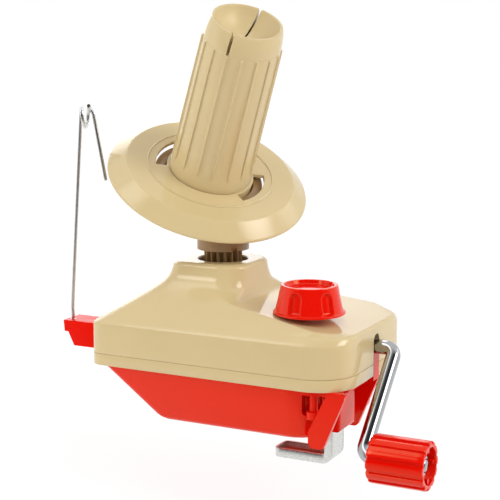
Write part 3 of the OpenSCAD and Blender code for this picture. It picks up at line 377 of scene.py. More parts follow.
def makeMetal(name, look):
    g = metalGrain
    tree, shader, where = newFinish(name)
    if look["flake"]:
        cloud = flakes(tree, where, look["flake"])
    else:
        cloud = noise(tree, where, g["cloud"], g["cloudDetail"], g["cloudRough"])
        cloud = spread(tree, cloud, *g["cloudSpan"], 0, 1)
    grain = noise(tree, where, look["grain"], g["detail"], g["rough"])
    feed(tree, shader, {"Metallic": 1, "Base Color": tint(tree, cloud, *shades(look)),
                        "Roughness": spread(tree, grain, *g["span"], *look["rough"]),
                        "Normal": bump(tree, grain, look["depth"])})


for finishName, finishLook in plasticLooks.items():
    makePlastic(finishName, finishLook)
for finishName, finishLook in metalLooks.items():
    makeMetal(finishName, finishLook)
print("finishes:", ", ".join(finishes))

slotOf = {s["node"]: s["material_slot"] for s in frame["record"]["subparts"]}
bodyOf = {n: b for b, group in frame["record"]["behaviour"]["bodies"].items() for n in group}
for nodeName, nodeObject in frame["nodes"].items():
    nodeObject.data.materials.clear()
    nodeObject.data.materials.append(finishes[slotOf[nodeName]])


# Camera, lamps, world and floor

view = {"at": (279.7, -528.9, 173.2), "forward": (-0.4429, 0.8815, -0.1642), "lens": 93.6, "sensor": 36,
        "clip": (0.01, 20)}
camera = bpy.data.objects.new("camera", bpy.data.cameras.new("camera"))
camera.data.sensor_width = view["sensor"]
camera.data.lens = view["lens"]
camera.data.clip_start, camera.data.clip_end = view["clip"]
camera.location = Vector(view["at"]) * mm
camera.rotation_mode = "QUATERNION"
camera.rotation_quaternion = Vector(view["forward"]).to_track_quat("-Z", "Y")
scene.collection.objects.link(camera)
scene.camera = camera
scene.view_settings.view_transform = "Standard"

# The floor lies below everything that swings or slides down, and what stands before the object is dim.
# A lamp has a place, width, height and power; a panel is only mirrored, and has an azimuth and height,
# the angles of its core and of its edge, and a level.
studio = {"floorZ": -41, "floorSize": 9000, "white": 0.44, "near": 150, "far": 620, "nearGlow": 0.8,
          "front": (0.46, -0.87, 0.12), "frontFrom": 0.12, "frontTo": 0.45, "frontLevel": 0.06,
          "tableFrom": 90, "tableTo": 260, "tableLevel": 0.22, "glow": 1.05, "aim": (10, 0, 80),
          "paper": (0.9, 0.9, 0.9, 1), "paperRough": 0.9, "paperGloss": 0.1,
          "lamps": [("keyLamp", (-760, -660, 410), 1000, 1000, 6.3),
                    ("topLamp", (370, -400, 820), 420, 420, 1.7),
                    ("boxLamp", (860, -60, 560), 420, 480, 4.2),
                    ("backLamp", (-460, 640, 560), 800, 800, 4.0)],
          "panels": [((-138, 56), 4, 15, 2.8), ((131, 23), 12, 33, 2.6), ((9, 36), 4, 17, 7.0),
                     ((48, 30), 8, 20, 2.0), ((-124, 37), 3, 10, 5.0), ((125, 52), 3, 10, 5.0)]}
for lampName, spot, width, height, power in studio["lamps"]:
    lamp = bpy.data.lights.new(lampName, "AREA")
    lamp.shape = "RECTANGLE"
    lamp.size, lamp.size_y = width * mm, height * mm
    lamp.energy = power
    lampObject = bpy.data.objects.new(lampName, lamp)
    lampObject.location = Vector(spot) * mm
    lampObject.rotation_euler = (Vector(studio["aim"]) - Vector(spot)).to_track_quat("-Z", "Y").to_euler()
    lampObject.visible_glossy = False  # gloss mirrors the soft panels instead
    scene.collection.objects.link(lampObject)


def combine(tree, operation, a, b):
    return addNode(tree, "Math", {0: a, 1: b}, operation=operation).outputs[0]


def along(tree, where, direction):  # how far a point or ray lies towards a direction
    return addNode(tree, "VectorMath", {0: where, 1: direction}, operation="DOT_PRODUCT").outputs["Value"]


def makeWorld():
    s = studio
    scene.world = bpy.data.worlds.new("studio")
    scene.world.use_nodes = True
    sky = scene.world.node_tree
    ray = addNode(sky, "LightPath", {}).outputs
    outward = addNode(sky, "TexCoord", {}).outputs["Generated"]
    mirrored = spread(sky, along(sky, outward, s["front"]), s["frontFrom"], s["frontTo"], 1, s["frontLevel"])
    for (azimuth, rise), core, edge, level in s["panels"]:
        flat = cosDeg(rise)
        towards = along(sky, outward, (cosDeg(azimuth) * flat, sinDeg(azimuth) * flat, sinDeg(rise)))
        panel = spread(sky, towards, cosDeg(edge), cosDeg(core), 0, level)
        mirrored = combine(sky, "MAXIMUM", mirrored, panel)
    lit = spread(sky, ray["Is Glossy Ray"], 0, 1, s["white"], mirrored)
    seen = combine(sky, "MAXIMUM", ray["Is Camera Ray"], ray["Is Transmission Ray"])
    feed(sky, sky.nodes["Background"], {"Color": (1, 1, 1, 1), "Strength": spread(sky, seen, 0, 1, lit, 1)})


def makeFloor():  # pale paper that shows its shade near the object only
    s = studio
    half, z = s["floorSize"] / 2, s["floorZ"]
    floor = meshObject("floor", [(-half, -half, z), (half, -half, z), (half, half, z), (-half, half, z)],
                       [(0, 1, 2, 3)])
    tree, shader, where = newFinish("floor_paper")
    feed(tree, shader, {"Base Color": s["paper"], "Roughness": s["paperRough"],
                        "Specular IOR Level": s["paperGloss"]})
    ray = addNode(tree, "LightPath", {}).outputs
    mirrored = spread(tree, along(tree, where, s["front"]), s["tableFrom"] * mm, s["tableTo"] * mm,
                      s["glow"], s["tableLevel"])
    level = spread(tree, ray["Is Glossy Ray"], 0, 1, s["glow"], mirrored)
    glow = addNode(tree, "Emission", {"Color": (1, 1, 1, 1), "Strength": level})
    reach = addNode(tree, "VectorMath", {0: where}, operation="LENGTH").outputs["Value"]
    nearShare = spread(tree, reach, s["near"] * mm, s["far"] * mm, s["nearGlow"], 1)
    seen = combine(tree, "MULTIPLY", ray["Is Camera Ray"], nearShare)
    seen = combine(tree, "MAXIMUM", seen, ray["Is Glossy Ray"])
    mix = addNode(tree, "MixShader", {"Fac": seen, 1: shader.outputs[0], 2: glow.outputs[0]})
    feed(tree, tree.nodes["Material Output"], {"Surface": mix.outputs[0]})
    floor.data.materials.append(finishes["floor_paper"])


makeWorld()
makeFloor()
print("camera, lamps and floor set")


# Upper housing: side walls, hipped roof, deck and turret in one skin

shell = {"left": 49, "right": 77, "half": 41, "crankCorner": 18, "guideCorner": 7, "wall": 2.2,
         "seam": 28.2, "side": 42.4, "deck": 46.0, "deckSlope": 8.6, "roofSlope": 42, "endSlope": 33,
         "top": 70, "turret": 36, "turretCorner": 12, "turretEdge": 2.2, "hole": 11.5, "holeRound": 0.9,
         "holeLand": 2.2, "flare": 5, "edge": 1.5, "crease": 0.9, "creaseDrop": 1, "cornerRun": 2,
         "turretRun": 6, "draft": 0.05, "brow": 0.5, "seamRound": 0.45, "slotW": 6.8, "slotTop": 41.8,
         "slotX": (73, 81), "slotDrop": 2,
         "rail": [(-6.1, 25.1), (6.1, 25.1), (6.1, 32.9), (-6.1, 32.9)], "railX": (-52, -40),
         "screwAt": (51.5, -16.5), "screwBore": 3.1, "screwZ": (40, 62),
         "wallRows": 8, "wallStep": 1.6, "browRows": 12, "browStep": 0.4, "browFrom": 1.4, "roofRows": 26,
         "roofOver": 2, "neckRows": 10}


def turretHalf(z, o):  # o is how far inside the outer skin the loop lies
    s = shell
    return (s["turret"] / 2 - o + (s["top"] - z) * s["draft"]
            - roundIn(s["turretEdge"], z + o - (s["top"] - s["turretEdge"])))


def shellHalf(z, o, reach, slope):  # half width towards a sloping roof side
    s = shell
    lean = reach - (z + o / cosDeg(slope) - s["side"]) / tanDeg(slope)
    return softMin(reach - o, softMax(turretHalf(z, o), lean, s["flare"]), s["brow"])


def shellRight(z, o):
    s = shell
    rise = z + o / cosDeg(s["deckSlope"]) - s["deck"]
    run = s["right"] - s["edge"] - rise / tanDeg(s["deckSlope"])
    end = s["right"] - o - roundIn(s["edge"], z + o - (s["deck"] - s["edge"]))
    return min(end, softMax(turretHalf(z, o), run, s["flare"]))


deckRun = shell["right"] - shell["edge"] - shell["turret"] / 2
deckTop = shell["deck"] + deckRun * tanDeg(shell["deckSlope"]) - shell["creaseDrop"]


def crankCorner(z):
    s = shell
    if z < deckTop:
        return ramp(s["crankCorner"], s["crease"], (z - s["deck"]) / s["cornerRun"])
    return ramp(s["crease"], s["turretCorner"], (z - deckTop) / s["turretRun"])


def planLoop(left, right, half, guideR, crankR, z, arc=9, straight=8):
    spots = [(right - crankR, -half + crankR, crankR, -90), (right - crankR, half - crankR, crankR, 0),
             (-left + guideR, half - guideR, guideR, 90), (-left + guideR, -half + guideR, guideR, 180)]

    def onCorner(cx, cy, r, angle):
        return Vector((cx + r * cosDeg(angle), cy + r * sinDeg(angle), z))
    loop = []
    for n, (cx, cy, r, start) in enumerate(spots):
        loop += [onCorner(cx, cy, r, start + a) for a in quarter(arc)]
        begin, end = loop[-1].copy(), onCorner(*spots[(n + 1) % 4])
        loop += [begin.lerp(end, k / straight) for k in range(1, straight)]
    return loop


def shellLoop(z, o, pinch=0):
    s = shell
    return planLoop(shellHalf(z, o, s["left"], s["endSlope"]) - pinch, shellRight(z, o) - pinch,
                    shellHalf(z, o, s["half"], s["roofSlope"]) - pinch,
                    s["guideCorner"] - o, crankCorner(z) - o, z)


def shellLevels(o):
    s = shell
    roofTop, neckTop = deckTop - o + s["roofOver"], s["top"] - o - s["turretEdge"]
    zs = [s["seam"] + s["seamRound"] + k * s["wallStep"] for k in range(s["wallRows"])]
    zs += [s["side"] - o - s["browFrom"] + s["browStep"] * k for k in range(s["browRows"])]
    zs += [s["deck"] - o - s["edge"] + s["edge"] * sinDeg(a) for a in quarter(6)[1:]]
    zs += [ramp(s["deck"] - o, roofTop, i / s["roofRows"]) for i in range(1, s["roofRows"] + 1)]
    zs += [ramp(roofTop, neckTop, i / s["neckRows"]) for i in range(1, s["neckRows"] + 1)]
    zs += [s["top"] - o - s["turretEdge"] * (1 - sinDeg(a)) for a in quarter(9)[1:]]
    return sorted(set(round(z, 4) for z in zs))


def holeLoop(loop, r, z):
    return [Vector((p.x, p.y, 0)).normalized() * r + Vector((0, 0, z)) for p in loop]


def buildHousing():
    s = shell
    outer = [shellLoop(z, 0) for z in shellLevels(0)]
    foot = [shellLoop(s["seam"] + s["seamRound"] * (1 - sinDeg(a)), 0, s["seamRound"] * (1 - cosDeg(a)))
            for a in quarter(3)[:0:-1]]
    inner = [shellLoop(z, s["wall"]) for z in shellLevels(s["wall"])]
    rim, top, r, turn = outer[-1], s["top"], s["hole"], s["holeRound"]
    hole = [holeLoop(rim, r + s["holeLand"], top)]
    hole += [holeLoop(rim, r + turn * (1 - sinDeg(a)), top - turn * (1 - cosDeg(a))) for a in quarter(5)]
    hole += [holeLoop(rim, r, top - s["wall"])]
    loops = foot + outer + hole + inner[::-1] + [shellLoop(s["seam"], s["wall"])]
    piece = solidObject("upper_housing_skin", [p for loop in loops for p in loop],
                        gridFaces(len(loops), len(loops[0]), True))
    half, low = s["slotW"] / 2, s["seam"] - s["slotDrop"]
    arch = [(half * cosDeg(a), s["slotTop"] - half + half * sinDeg(a)) for a in range(0, 181, 12)]
    for cutter in (prism("crank_slot", [(-half, low), (half, low)] + arch, *s["slotX"], "x"),
                   prism("rail_slot", s["rail"], *s["railX"], "x"),
                   prism("screw_bore", circle(*s["screwAt"], s["screwBore"], sides=30), *s["screwZ"], "z")):
        joinMesh(piece, cutter, "DIFFERENCE")
    place(piece, "cream_plastic", "base", "upper_housing", sharp=38)


buildHousing()
print("upper housing made")


# Cone tube, cap and flange, on the leaning axis; a is measured down from where the axes cross

lean = {"height": 134, "turn": -37, "tilt": 30}
leaning = (Matrix.Translation((0, 0, lean["height"])) @ Matrix.Rotation(math.radians(lean["turn"]), 4, "Z")
           @ Matrix.Rotation(math.radians(lean["tilt"]), 4, "Y"))
tube = {"ribs": 16, "ribHeight": 0.8, "topR": 18.3, "baseR": 19.7, "rimR": 16.1, "wall": 1.8,
        "lipShare": 0.75, "flat": 27.6, "rim": -51.4, "collar": 9.5, "ribLow": 22.2, "ribStart": 0.3,
        "ribStartRun": 0.9, "ribEndRun": 2.5, "flare": 14.6, "hubR": 20.8, "hubEnd": 33.71, "web": 29.6,
        "webThick": 3, "bore": 3.05, "slitHalf": 0.5, "mouthHalf": 1.0, "mouthDepth": 1.7,
        "slitDepth": 10.1, "slitEdge": 0.16, "slitAt": -46, "besideSlit": 0.1, "underSlit": 0.02,
        "capDepth": 12.5, "capStep": 14.5, "innerR": 15.7, "footDrop": 0.55, "gauge": 18, "leastR": 14,
        "step": 0.1, "stepRun": 0.3, "stepEnd": 6, "stepEndRun": 8,
        "collarShape": [(0.3, 0), (2.85, 0.5), (6.2, 0.85)],  # below the rim, share from rim to panels
        "footShape": [(9, 0.2), (6, 0.5), (3.4, 0.85), (1, 1), (0, 1)],  # above the flat, share to the base
        "rimOut": [(0.35, 0), (0.1, 0.1), (0, 0.35)], "rimIn": [(0, 0.35), (0.08, 0.09), (0.3, 0)],
        "ribShape": [(-1.25, 0), (-0.72, 0), (-0.58, 0.1), (-0.48, 0.5), (-0.36, 0.88), (-0.1, 1), (0.1, 1),
                     (0.36, 0.88), (0.48, 0.5), (0.58, 0.1), (0.72, 0), (1.25, 0)],  # across, share of height
        "slitColumns": (2, 9), "panelColumns": 5, "mouthRows": (0.9, 1.6, 2.4), "slitStep": 0.96,
        "slitSteps": 7, "collarStep": 0.1, "collarSteps": 4, "belowRows": (0.35, 0.7, 1.2, 2),
        "wallRows": 16, "footRows": 14, "innerRows": 9, "floorRise": 1, "webRound": ((0.3, 0.3), (1, 0))}
hair = 1e-6  # slack when lengths are compared


def ribLine(a):
    t = tube
    start = t["rim"] + t["collar"]
    return ramp(t["topR"], t["baseR"], (a - start) / (t["flat"] - start))


def tubeWall(a):
    t = tube
    step = t["step"] * ease((a - t["rim"] - t["collar"]) / t["stepRun"])
    step *= ease((t["flat"] - t["stepEnd"] - a) / t["stepEndRun"])
    low, top = ribLine(t["flare"]) - t["ribHeight"], t["topR"] - t["ribHeight"]
    points = [(t["rim"] + d, ramp(t["rimR"], top, share)) for d, share in t["collarShape"]]
    points += [(t["rim"] + t["collar"], top), (t["flare"], low)]
    points += [(t["flat"] - d, ramp(low, t["baseR"], share)) for d, share in t["footShape"]]
    return smoothCurve(points, a) - step


def ribRise(a):
    t = tube
    start = ease((a - t["rim"] - t["collar"] - t["ribStart"]) / t["ribStartRun"])
    return max(0, ribLine(a) - tubeWall(a)) * start * ease((t["ribLow"] - a) / t["ribEndRun"])


def buildTube():
    t = tube
    rim, slitEnd, floorA = t["rim"], t["rim"] + t["slitDepth"], t["web"] - t["webThick"]
    slitRows = [rim + d for d in t["mouthRows"]]
    slitRows += [slitRows[-1] + t["slitStep"] * k for k in range(1, t["slitSteps"] + 1)] + [slitEnd]
    slitRows += [rim + t["collar"] + t["collarStep"] * k for k in range(t["collarSteps"])]
    slitRows = sorted(set(slitRows))
    below = [slitEnd + d for d in t["belowRows"]]
    below += [ramp(below[-1], t["flare"], k / t["wallRows"]) for k in range(1, t["wallRows"] + 1)]
    below += [ramp(t["flare"], t["flat"], k / t["footRows"]) for k in range(1, t["footRows"] + 1)]
    lip = t["rimR"] - t["wall"] * t["lipShare"]
    lowIn = ribLine(t["flare"]) - t["ribHeight"] - t["wall"]

    def inside(a):
        if a < rim + t["capStep"]:
            return ramp(lip, t["innerR"], (a - rim - t["capDepth"]) / (t["capStep"] - t["capDepth"]))
        return ramp(t["innerR"], lowIn, (a - rim - t["capStep"]) / (floorA - rim - t["capStep"]))
    deep = [rim + t["capDepth"]]
    deep += [ramp(rim + t["capStep"], floorA - t["floorRise"], k / t["innerRows"])
             for k in range(t["innerRows"] + 1)]
    hub = [(lowIn - d, floorA - up) for d, up in t["webRound"]]
    hub += [(t["bore"], floorA), (t["bore"], t["web"]), (t["hubR"] - t["wall"], t["web"]),
            (t["hubR"] - t["wall"], t["hubEnd"]), (t["hubR"], t["hubEnd"]),
            (t["hubR"], t["flat"] + t["footDrop"]), (t["baseR"], t["flat"] + t["footDrop"])]
    rows = [(t["rimR"] - d, rim + down, 0) for d, down in t["rimOut"]]
    outCount = len(rows) + len(slitRows)  # rows beside the slit on the outside
    rows += [(tubeWall(a), a, ribRise(a)) for a in slitRows + below]
    rows += [(r, a, 0) for r, a in hub[::-1]]
    rows += [(inside(a), a, 0) for a in (slitRows + deep)[::-1]]
    rows += [(lip + d, rim + down, 0) for d, down in t["rimIn"]]

    # columns hold the rib's number, the offset from it at the gauge radius and the share of its height
    pitch, edge = 360 / t["ribs"], t["ribShape"][-1][0]
    half = math.radians(pitch / 2) * t["gauge"]
    columns = []
    for n in range(t["ribs"]):
        columns += [(n, d, h) for d, h in t["ribShape"]]
        columns += [(n, edge + (2 * half - 2 * edge) * k / (t["panelColumns"] + 1), 0)
                    for k in range(1, t["panelColumns"] + 1)]
    total, perRib = len(columns), len(columns) // t["ribs"]
    slitRibs, (lowCol, highCol) = (0, t["ribs"] // 2), t["slitColumns"]
    slitStart = t["ribShape"][highCol][0]

    def offset(n, d, a):  # opens the columns beside a slit
        if a > slitEnd + hair:
            return d
        for rib in slitRibs:
            steps = (n - rib) * 2 * half + d
            steps = (steps + t["ribs"] * half) % (2 * t["ribs"] * half) - t["ribs"] * half
            if slitStart - hair <= abs(steps) < half:
                gap = ramp(t["mouthHalf"], t["slitHalf"], (a - rim) / t["mouthDepth"])
                moved = gap + (abs(steps) - slitStart) * (half - gap) / (half - slitStart)
                return d + math.copysign(moved - abs(steps), steps)
        return d
    verts = []
    for r, a, h in rows:
        for n, d, share in columns:
            radius, across = r + h * share, offset(n, d, a)
            angle = math.radians(t["slitAt"] + n * pitch)
            if abs(d) <= edge:
                angle += math.asin(max(-1, min(1, across / max(r, t["leastR"]))))
            else:
                angle += across / t["gauge"]
            verts.append((radius * math.cos(angle), radius * math.sin(angle), -a))
    beside = [a <= slitEnd + hair for r, a, h in rows]
    inSlit = {(rib * perRib + k) % total for rib in slitRibs for k in range(lowCol, highCol)}

    def skip(i, j):
        return j in inSlit and beside[i] and beside[(i + 1) % len(rows)]
    faces = gridFaces(len(rows), total, True, skip)
    cutRows = [i for i in range(len(rows)) if beside[i]]
    order = [i for i in cutRows if i >= outCount] + [i for i in cutRows if i < outCount]
    for rib in slitRibs:  # the slit's two walls and its end, from the inside over the rim to the outside
        for k in (lowCol, highCol):
            column = (rib * perRib + k) % total
            for q in range(len(order) // 2 - 1):
                faces.append(tuple(order[i] * total + column for i in (q, q + 1, -2 - q, -1 - q)))
        for k in range(lowCol, highCol):
            a, b = order[0] * total, order[-1] * total
            j, j2 = (rib * perRib + k) % total, (rib * perRib + k + 1) % total
            faces.append((a + j, a + j2, b + j2, b + j))
    piece = meshObject("cone_tube_ribbed", verts, faces)
    side = Vector((-sinDeg(t["slitAt"]), cosDeg(t["slitAt"]), 0))

    low = slitEnd + t["underSlit"]

    def atSlit(v):
        return abs(v.co.dot(side)) < (t["mouthHalf"] + t["besideSlit"]) * mm and -v.co.z < low * mm
    softenEdges(piece, t["slitEdge"], sharp=50, segments=1, where=atSlit)
    place(piece, "cream_plastic", "cone", "cone_tube", sharp=40, frameMatrix=leaning)


buildTube()

cap = {"r": 14.9, "land": 0.03, "sunk": 0.02, "dish": 8.8, "dishRows": 18, "thick": 1.3, "length": 12.4,
       "skirtR": 13.35, "skirtGap": 0.2, "step": (0.6, 1.2), "slit": 0.5, "mouth": 0.95, "mouthDepth": 0.8,
       "mouthOver": 1, "slitOver": 0.05, "knife": 20, "columns": 128, "edge": 0.16}


def buildCap():  # dished cap in the tube's mouth, split by the yarn slit
    c, top = cap, tube["rim"] + cap["sunk"]
    bowl = c["r"] - c["land"]
    ballR = (bowl ** 2 + c["dish"] ** 2) / (2 * c["dish"])

    def dish(grow):  # from the bowl's middle outwards
        angles = [math.asin(bowl / ballR) * i / c["dishRows"] for i in range(c["dishRows"] + 1)]
        return [((ballR + grow) * math.sin(q), top + c["dish"] - ballR + (ballR + grow) * math.cos(q))
                for q in angles]
    upper = dish(0)
    under = [(r, a) for r, a in dish(c["thick"]) if r < c["skirtR"] - c["skirtGap"]]
    fitR = tube["rimR"] - tube["lipShare"] * tube["wall"]
    profile = upper[1:] + [(c["r"], top), (c["r"], top + c["step"][0]), (fitR, top + c["step"][1]),
                           (fitR, top + c["length"]), (c["skirtR"], top + c["length"]),
                           (c["skirtR"], under[-1][1])] + under[:0:-1]
    n, rows = c["columns"], len(profile)
    verts = [(x, y, -a) for r, a in profile for x, y in circle(0, 0, r, n)]
    verts += [(0, 0, -upper[0][1]), (0, 0, -under[0][1])]
    faces = gridFaces(rows, n, False)
    faces += [(j, (j + 1) % n, rows * n) for j in range(n)]
    faces += [((rows - 1) * n + j, rows * n + 1, (rows - 1) * n + (j + 1) % n) for j in range(n)]
    piece = solidObject("tube_cap_dished", verts, faces)
    end = tube["rim"] + tube["slitDepth"] + c["slitOver"]
    wide, neck = -tube["rim"] + c["mouthOver"], -top - c["mouthDepth"]
    outline = [(-c["mouth"], wide), (-c["slit"], neck), (-c["slit"], -end),
               (c["slit"], -end), (c["slit"], neck), (c["mouth"], wide)]
    knife = prism("slit_knife", outline, -c["knife"], c["knife"], "x")
    knife.data.transform(Matrix.Rotation(math.radians(tube["slitAt"]), 4, "Z"))
    joinMesh(piece, knife, "DIFFERENCE")
    softenEdges(piece, c["edge"])
    place(piece, "cream_plastic", "cone", "tube_cap", sharp=40, frameMatrix=leaning, look="cream_satin")


buildCap()
print("cone tube and cap made")

flange = {"r": 48, "flatR": 40.3, "midR": 34, "flat": 27.6, "rim": 34.6, "thick": 2, "hubR": 20.8,
          "lipR": 20.15, "lip": 0.5, "lipEdge": 0.12, "lipUnder": 0.1, "shoulder": 1.6, "ringR": 29.9,
          "ringHalf": 0.42, "ringRise": 0.5,
          "ringShape": [(-1, 0), (-0.7, 0.7), (0, 1), (0.7, 0.7), (1, 0)],  # shares of half width and rise
          "rimShape": [(0.25, 1.25, 1.1), (0, 0.55, 0.5), (0.35, 0, 0.3), (1.6, 0, 0.3)],  # in, up, round
          "under": (0.4, 0.75, 4), "windowR": 26, "windowLand": 0.6, "windows": (45, 225), "windowHalf": 30,
          "chamfer": 0.25, "columns": 240}


def buildFlange():
    f = flange
    top, low = -f["flat"], -f["rim"]
    out, down, bend = f["under"]
    outline = [(f["windowR"] + f["windowLand"], top, 0)]
    outline += [(f["ringR"] + u * f["ringHalf"], top + v * f["ringRise"], 0) for u, v in f["ringShape"]]
    outline += [(f["midR"], top, 0), (f["flatR"], top, f["shoulder"])]
    outline += [(f["r"] - d, low + up, r) for d, up, r in f["rimShape"]]
    outline += [(f["flatR"] + out, top - f["thick"] - down, bend), (f["midR"], top - f["thick"], 0),
                (f["windowR"] + f["windowLand"], top - f["thick"], 0)]
    edge, gap = f["windowR"], f["chamfer"]
    # rows of radius, height and whether the row lies at a window's edge
    rows = [(f["hubR"], top - f["thick"], True), (f["hubR"], top - f["lip"], True),
            (f["lipR"], top - f["lip"], True), (f["lipR"], top - f["lipEdge"], True),
            (f["lipR"] + f["lipEdge"], top, True), (edge, top, True), (edge + gap, top, False)]
    lipRows = len(rows) - 2
    rows += [(r, z, False) for r, z in roundedLoop(outline, steps=5)]
    rows += [(edge + gap, top - f["thick"], False), (edge, top - f["thick"], True)]
    n, count = len(rows), f["columns"]
    step = 360 / count
    windowCells, endColumns = set(), set()
    for mid in f["windows"]:
        first, last = round((mid - f["windowHalf"]) / step), round((mid + f["windowHalf"]) / step)
        windowCells |= set(range(first, last))
        endColumns |= {first, last}
    wallColumns = windowCells | endColumns
    verts = []
    for r, z, atEdge in rows:
        for j in range(count):
            drop = gap if atEdge and j in wallColumns else 0
            inward = drop if z < top - f["lip"] - f["lipUnder"] else -drop
            verts.append((r * cosDeg(j * step), r * sinDeg(j * step), z + inward))
    openRows = {n - 1} | set(range(lipRows))  # from a window's edge below, round the bore, to its edge above
    faces = gridFaces(n, count, True, lambda i, j: i in openRows and j in windowCells)
    under, over = (n - 1) * count, lipRows * count
    faces += [(under + j, under + j + 1, over + j + 1, over + j) for j in sorted(windowCells)]
    for j in sorted(endColumns):
        faces.append(tuple(i * count + j for i in range(lipRows + 1)) + (under + j,))
    piece = meshObject("flange_dish", verts, faces)
    place(piece, "cream_plastic", "cone", "flange", sharp=40, frameMatrix=leaning)


buildFlange()
print("flange made")

knob = {"x": 51.5, "y": -16.5, "bore": 3, "centre": 0.02, "lip": 16, "lipHeight": 1.0, "lipRound": 0.4,
        "lipFall": 0.1, "foot": 15.2, "footRise": 0.25, "footRound": 0.5, "topR": 12.6, "height": 12.8,
        "crown": [(0.2, -0.9, 0), (0, 0, 1.5), (-1.5, 0, 0.5)],  # out and up from the top's edge, round
        "dish": 2.0, "bowl": [(-2.2, 0.2, 0.9), (-4, 0, 2)], "floor": 0.35, "rowStep": 0.45,
        "grooves": 6, "perGroove": 44, "grooveHalf": 2.9, "grooveDepth": 1.35, "grooveTop": 1.9,
        "grooveFoot": 0.9, "wall": 1.9, "turn": 27.5, "denseFrom": 0.5, "cutFrom": 1}


def buildKnob():
    k = knob
    z0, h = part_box("knob")[0].z / mm, k["height"]
    floorZ, archFrom = h - k["dish"], h - k["grooveTop"] - k["grooveHalf"]
    corners = [(k["centre"], floorZ - k["floor"], 0), (k["bore"], floorZ - k["floor"], 0), (k["bore"], 0, 0),
               (k["lip"], 0, k["lipRound"]), (k["lip"], k["lipHeight"] - k["lipFall"], k["lipRound"]),
               (k["foot"], k["lipHeight"] + k["footRise"], k["footRound"])]
    corners += [(k["topR"] + out, h + up, r) for out, up, r in k["crown"]]
    corners += [(k["topR"] + out, floorZ + up, r) for out, up, r in k["bowl"]] + [(k["centre"], floorZ, 0)]
    profile = roundedLoop(corners, steps=6)
    dense = []
    for i, (r, z) in enumerate(profile):
        r2, z2 = profile[(i + 1) % len(profile)]
        grooved = min(r, r2) > k["topR"] - k["denseFrom"]
        parts = max(1, int(math.hypot(r2 - r, z2 - z) / k["rowStep"])) if grooved else 1
        dense += [(r + (r2 - r) * q / parts, z + (z2 - z) * q / parts) for q in range(parts)]
    columns, pitch = k["grooves"] * k["perGroove"], 360 / k["grooves"]
    verts = []
    for r, z in dense:
        for j in range(columns):
            turned = 360 * (j / columns)
            off = (turned - k["turn"] + pitch / 2) % pitch - pitch / 2
            radius = r
            if z > k["lipHeight"] and r > k["topR"] - k["cutFrom"]:
                across = r * sinDeg(off) / k["grooveHalf"]
                arch = max(0, z - archFrom) / k["grooveHalf"]
                cut = ease((1 - across * across - arch * arch) * k["wall"])
                radius -= k["grooveDepth"] * cut * ease((z - k["lipHeight"]) / k["grooveFoot"])
            verts.append((k["x"] + radius * cosDeg(turned), k["y"] + radius * sinDeg(turned), z0 + z))
    piece = meshObject("knob_moulded", verts, gridFaces(len(dense), columns, True))
    place(piece, "red_plastic", "clamp_knob", "knob", sharp=60)


buildKnob()
print("knob made")

crank = {"axisZ": 36, "rest": -45, "r": 3, "start": 8.4, "run": 20, "armX": 86, "bend": 5, "throw": 54,
         "end": 114.6, "sides": 40, "bendSteps": 16, "fuller": 1.1, "fullerRun": 0.6, "leaves": 77.5,
         "enters": 91.5, "inGrip": 10}
crankFrame = Matrix.Translation((0, 0, crank["axisZ"])) @ Matrix.Rotation(math.radians(crank["rest"]), 4, "X")


def buildCrank():
    c, b = crank, crank["bend"]
    turns = quarter(c["bendSteps"])
    path = [(x, 0, 0) for x in (c["start"], c["start"] + c["run"], c["leaves"] - c["fullerRun"], c["leaves"])]
    path += [(c["armX"] - b + b * sinDeg(a), 0, -b + b * cosDeg(a)) for a in turns]
    path += [(c["armX"], 0, -c["throw"] / 2)]
    path += [(c["armX"] + b - b * cosDeg(a), 0, -c["throw"] + b - b * sinDeg(a)) for a in turns]
    path += [(c["enters"] + d, 0, -c["throw"]) for d in (0, c["fullerRun"], c["inGrip"])]
    path += [(c["end"], 0, -c["throw"])]

    def swell(point):  # the arm in view is a little fuller than the rod in its bushes
        return c["fuller"] if c["leaves"] <= point.x <= c["enters"] else 1.0
    rod = sweep("crank_rod_bent", path, c["r"], c["sides"], swell)
    place(rod, "chrome", "crank", "crank_rod", sharp=60, frameMatrix=crankFrame)


buildCrank()

gripLook = {"x": 91, "length": 25, "r": 10.5, "flutes": 12, "perFlute": 22, "grooveHalf": 1.3,
            "grooveDepth": 1.0, "wall": 1.4, "rows": 12, "bore": 3.05, "mouthR": 3.6, "mouth": 2,
            "landR": 6.5, "edge": 0.9, "recess": 4, "recessR": 7.9,
            "recessLip": [(0.35, 0), (0.1, 0.1), (0, 0.35)], "recessRound": 0.4,
            "ribs": 4, "ribAt": 45, "ribIn": 5.6, "ribOver": 0.8, "ribThick": 1.6, "ribRound": 0.4,
            "ribSunk": 0.5, "ribShort": 0.3}


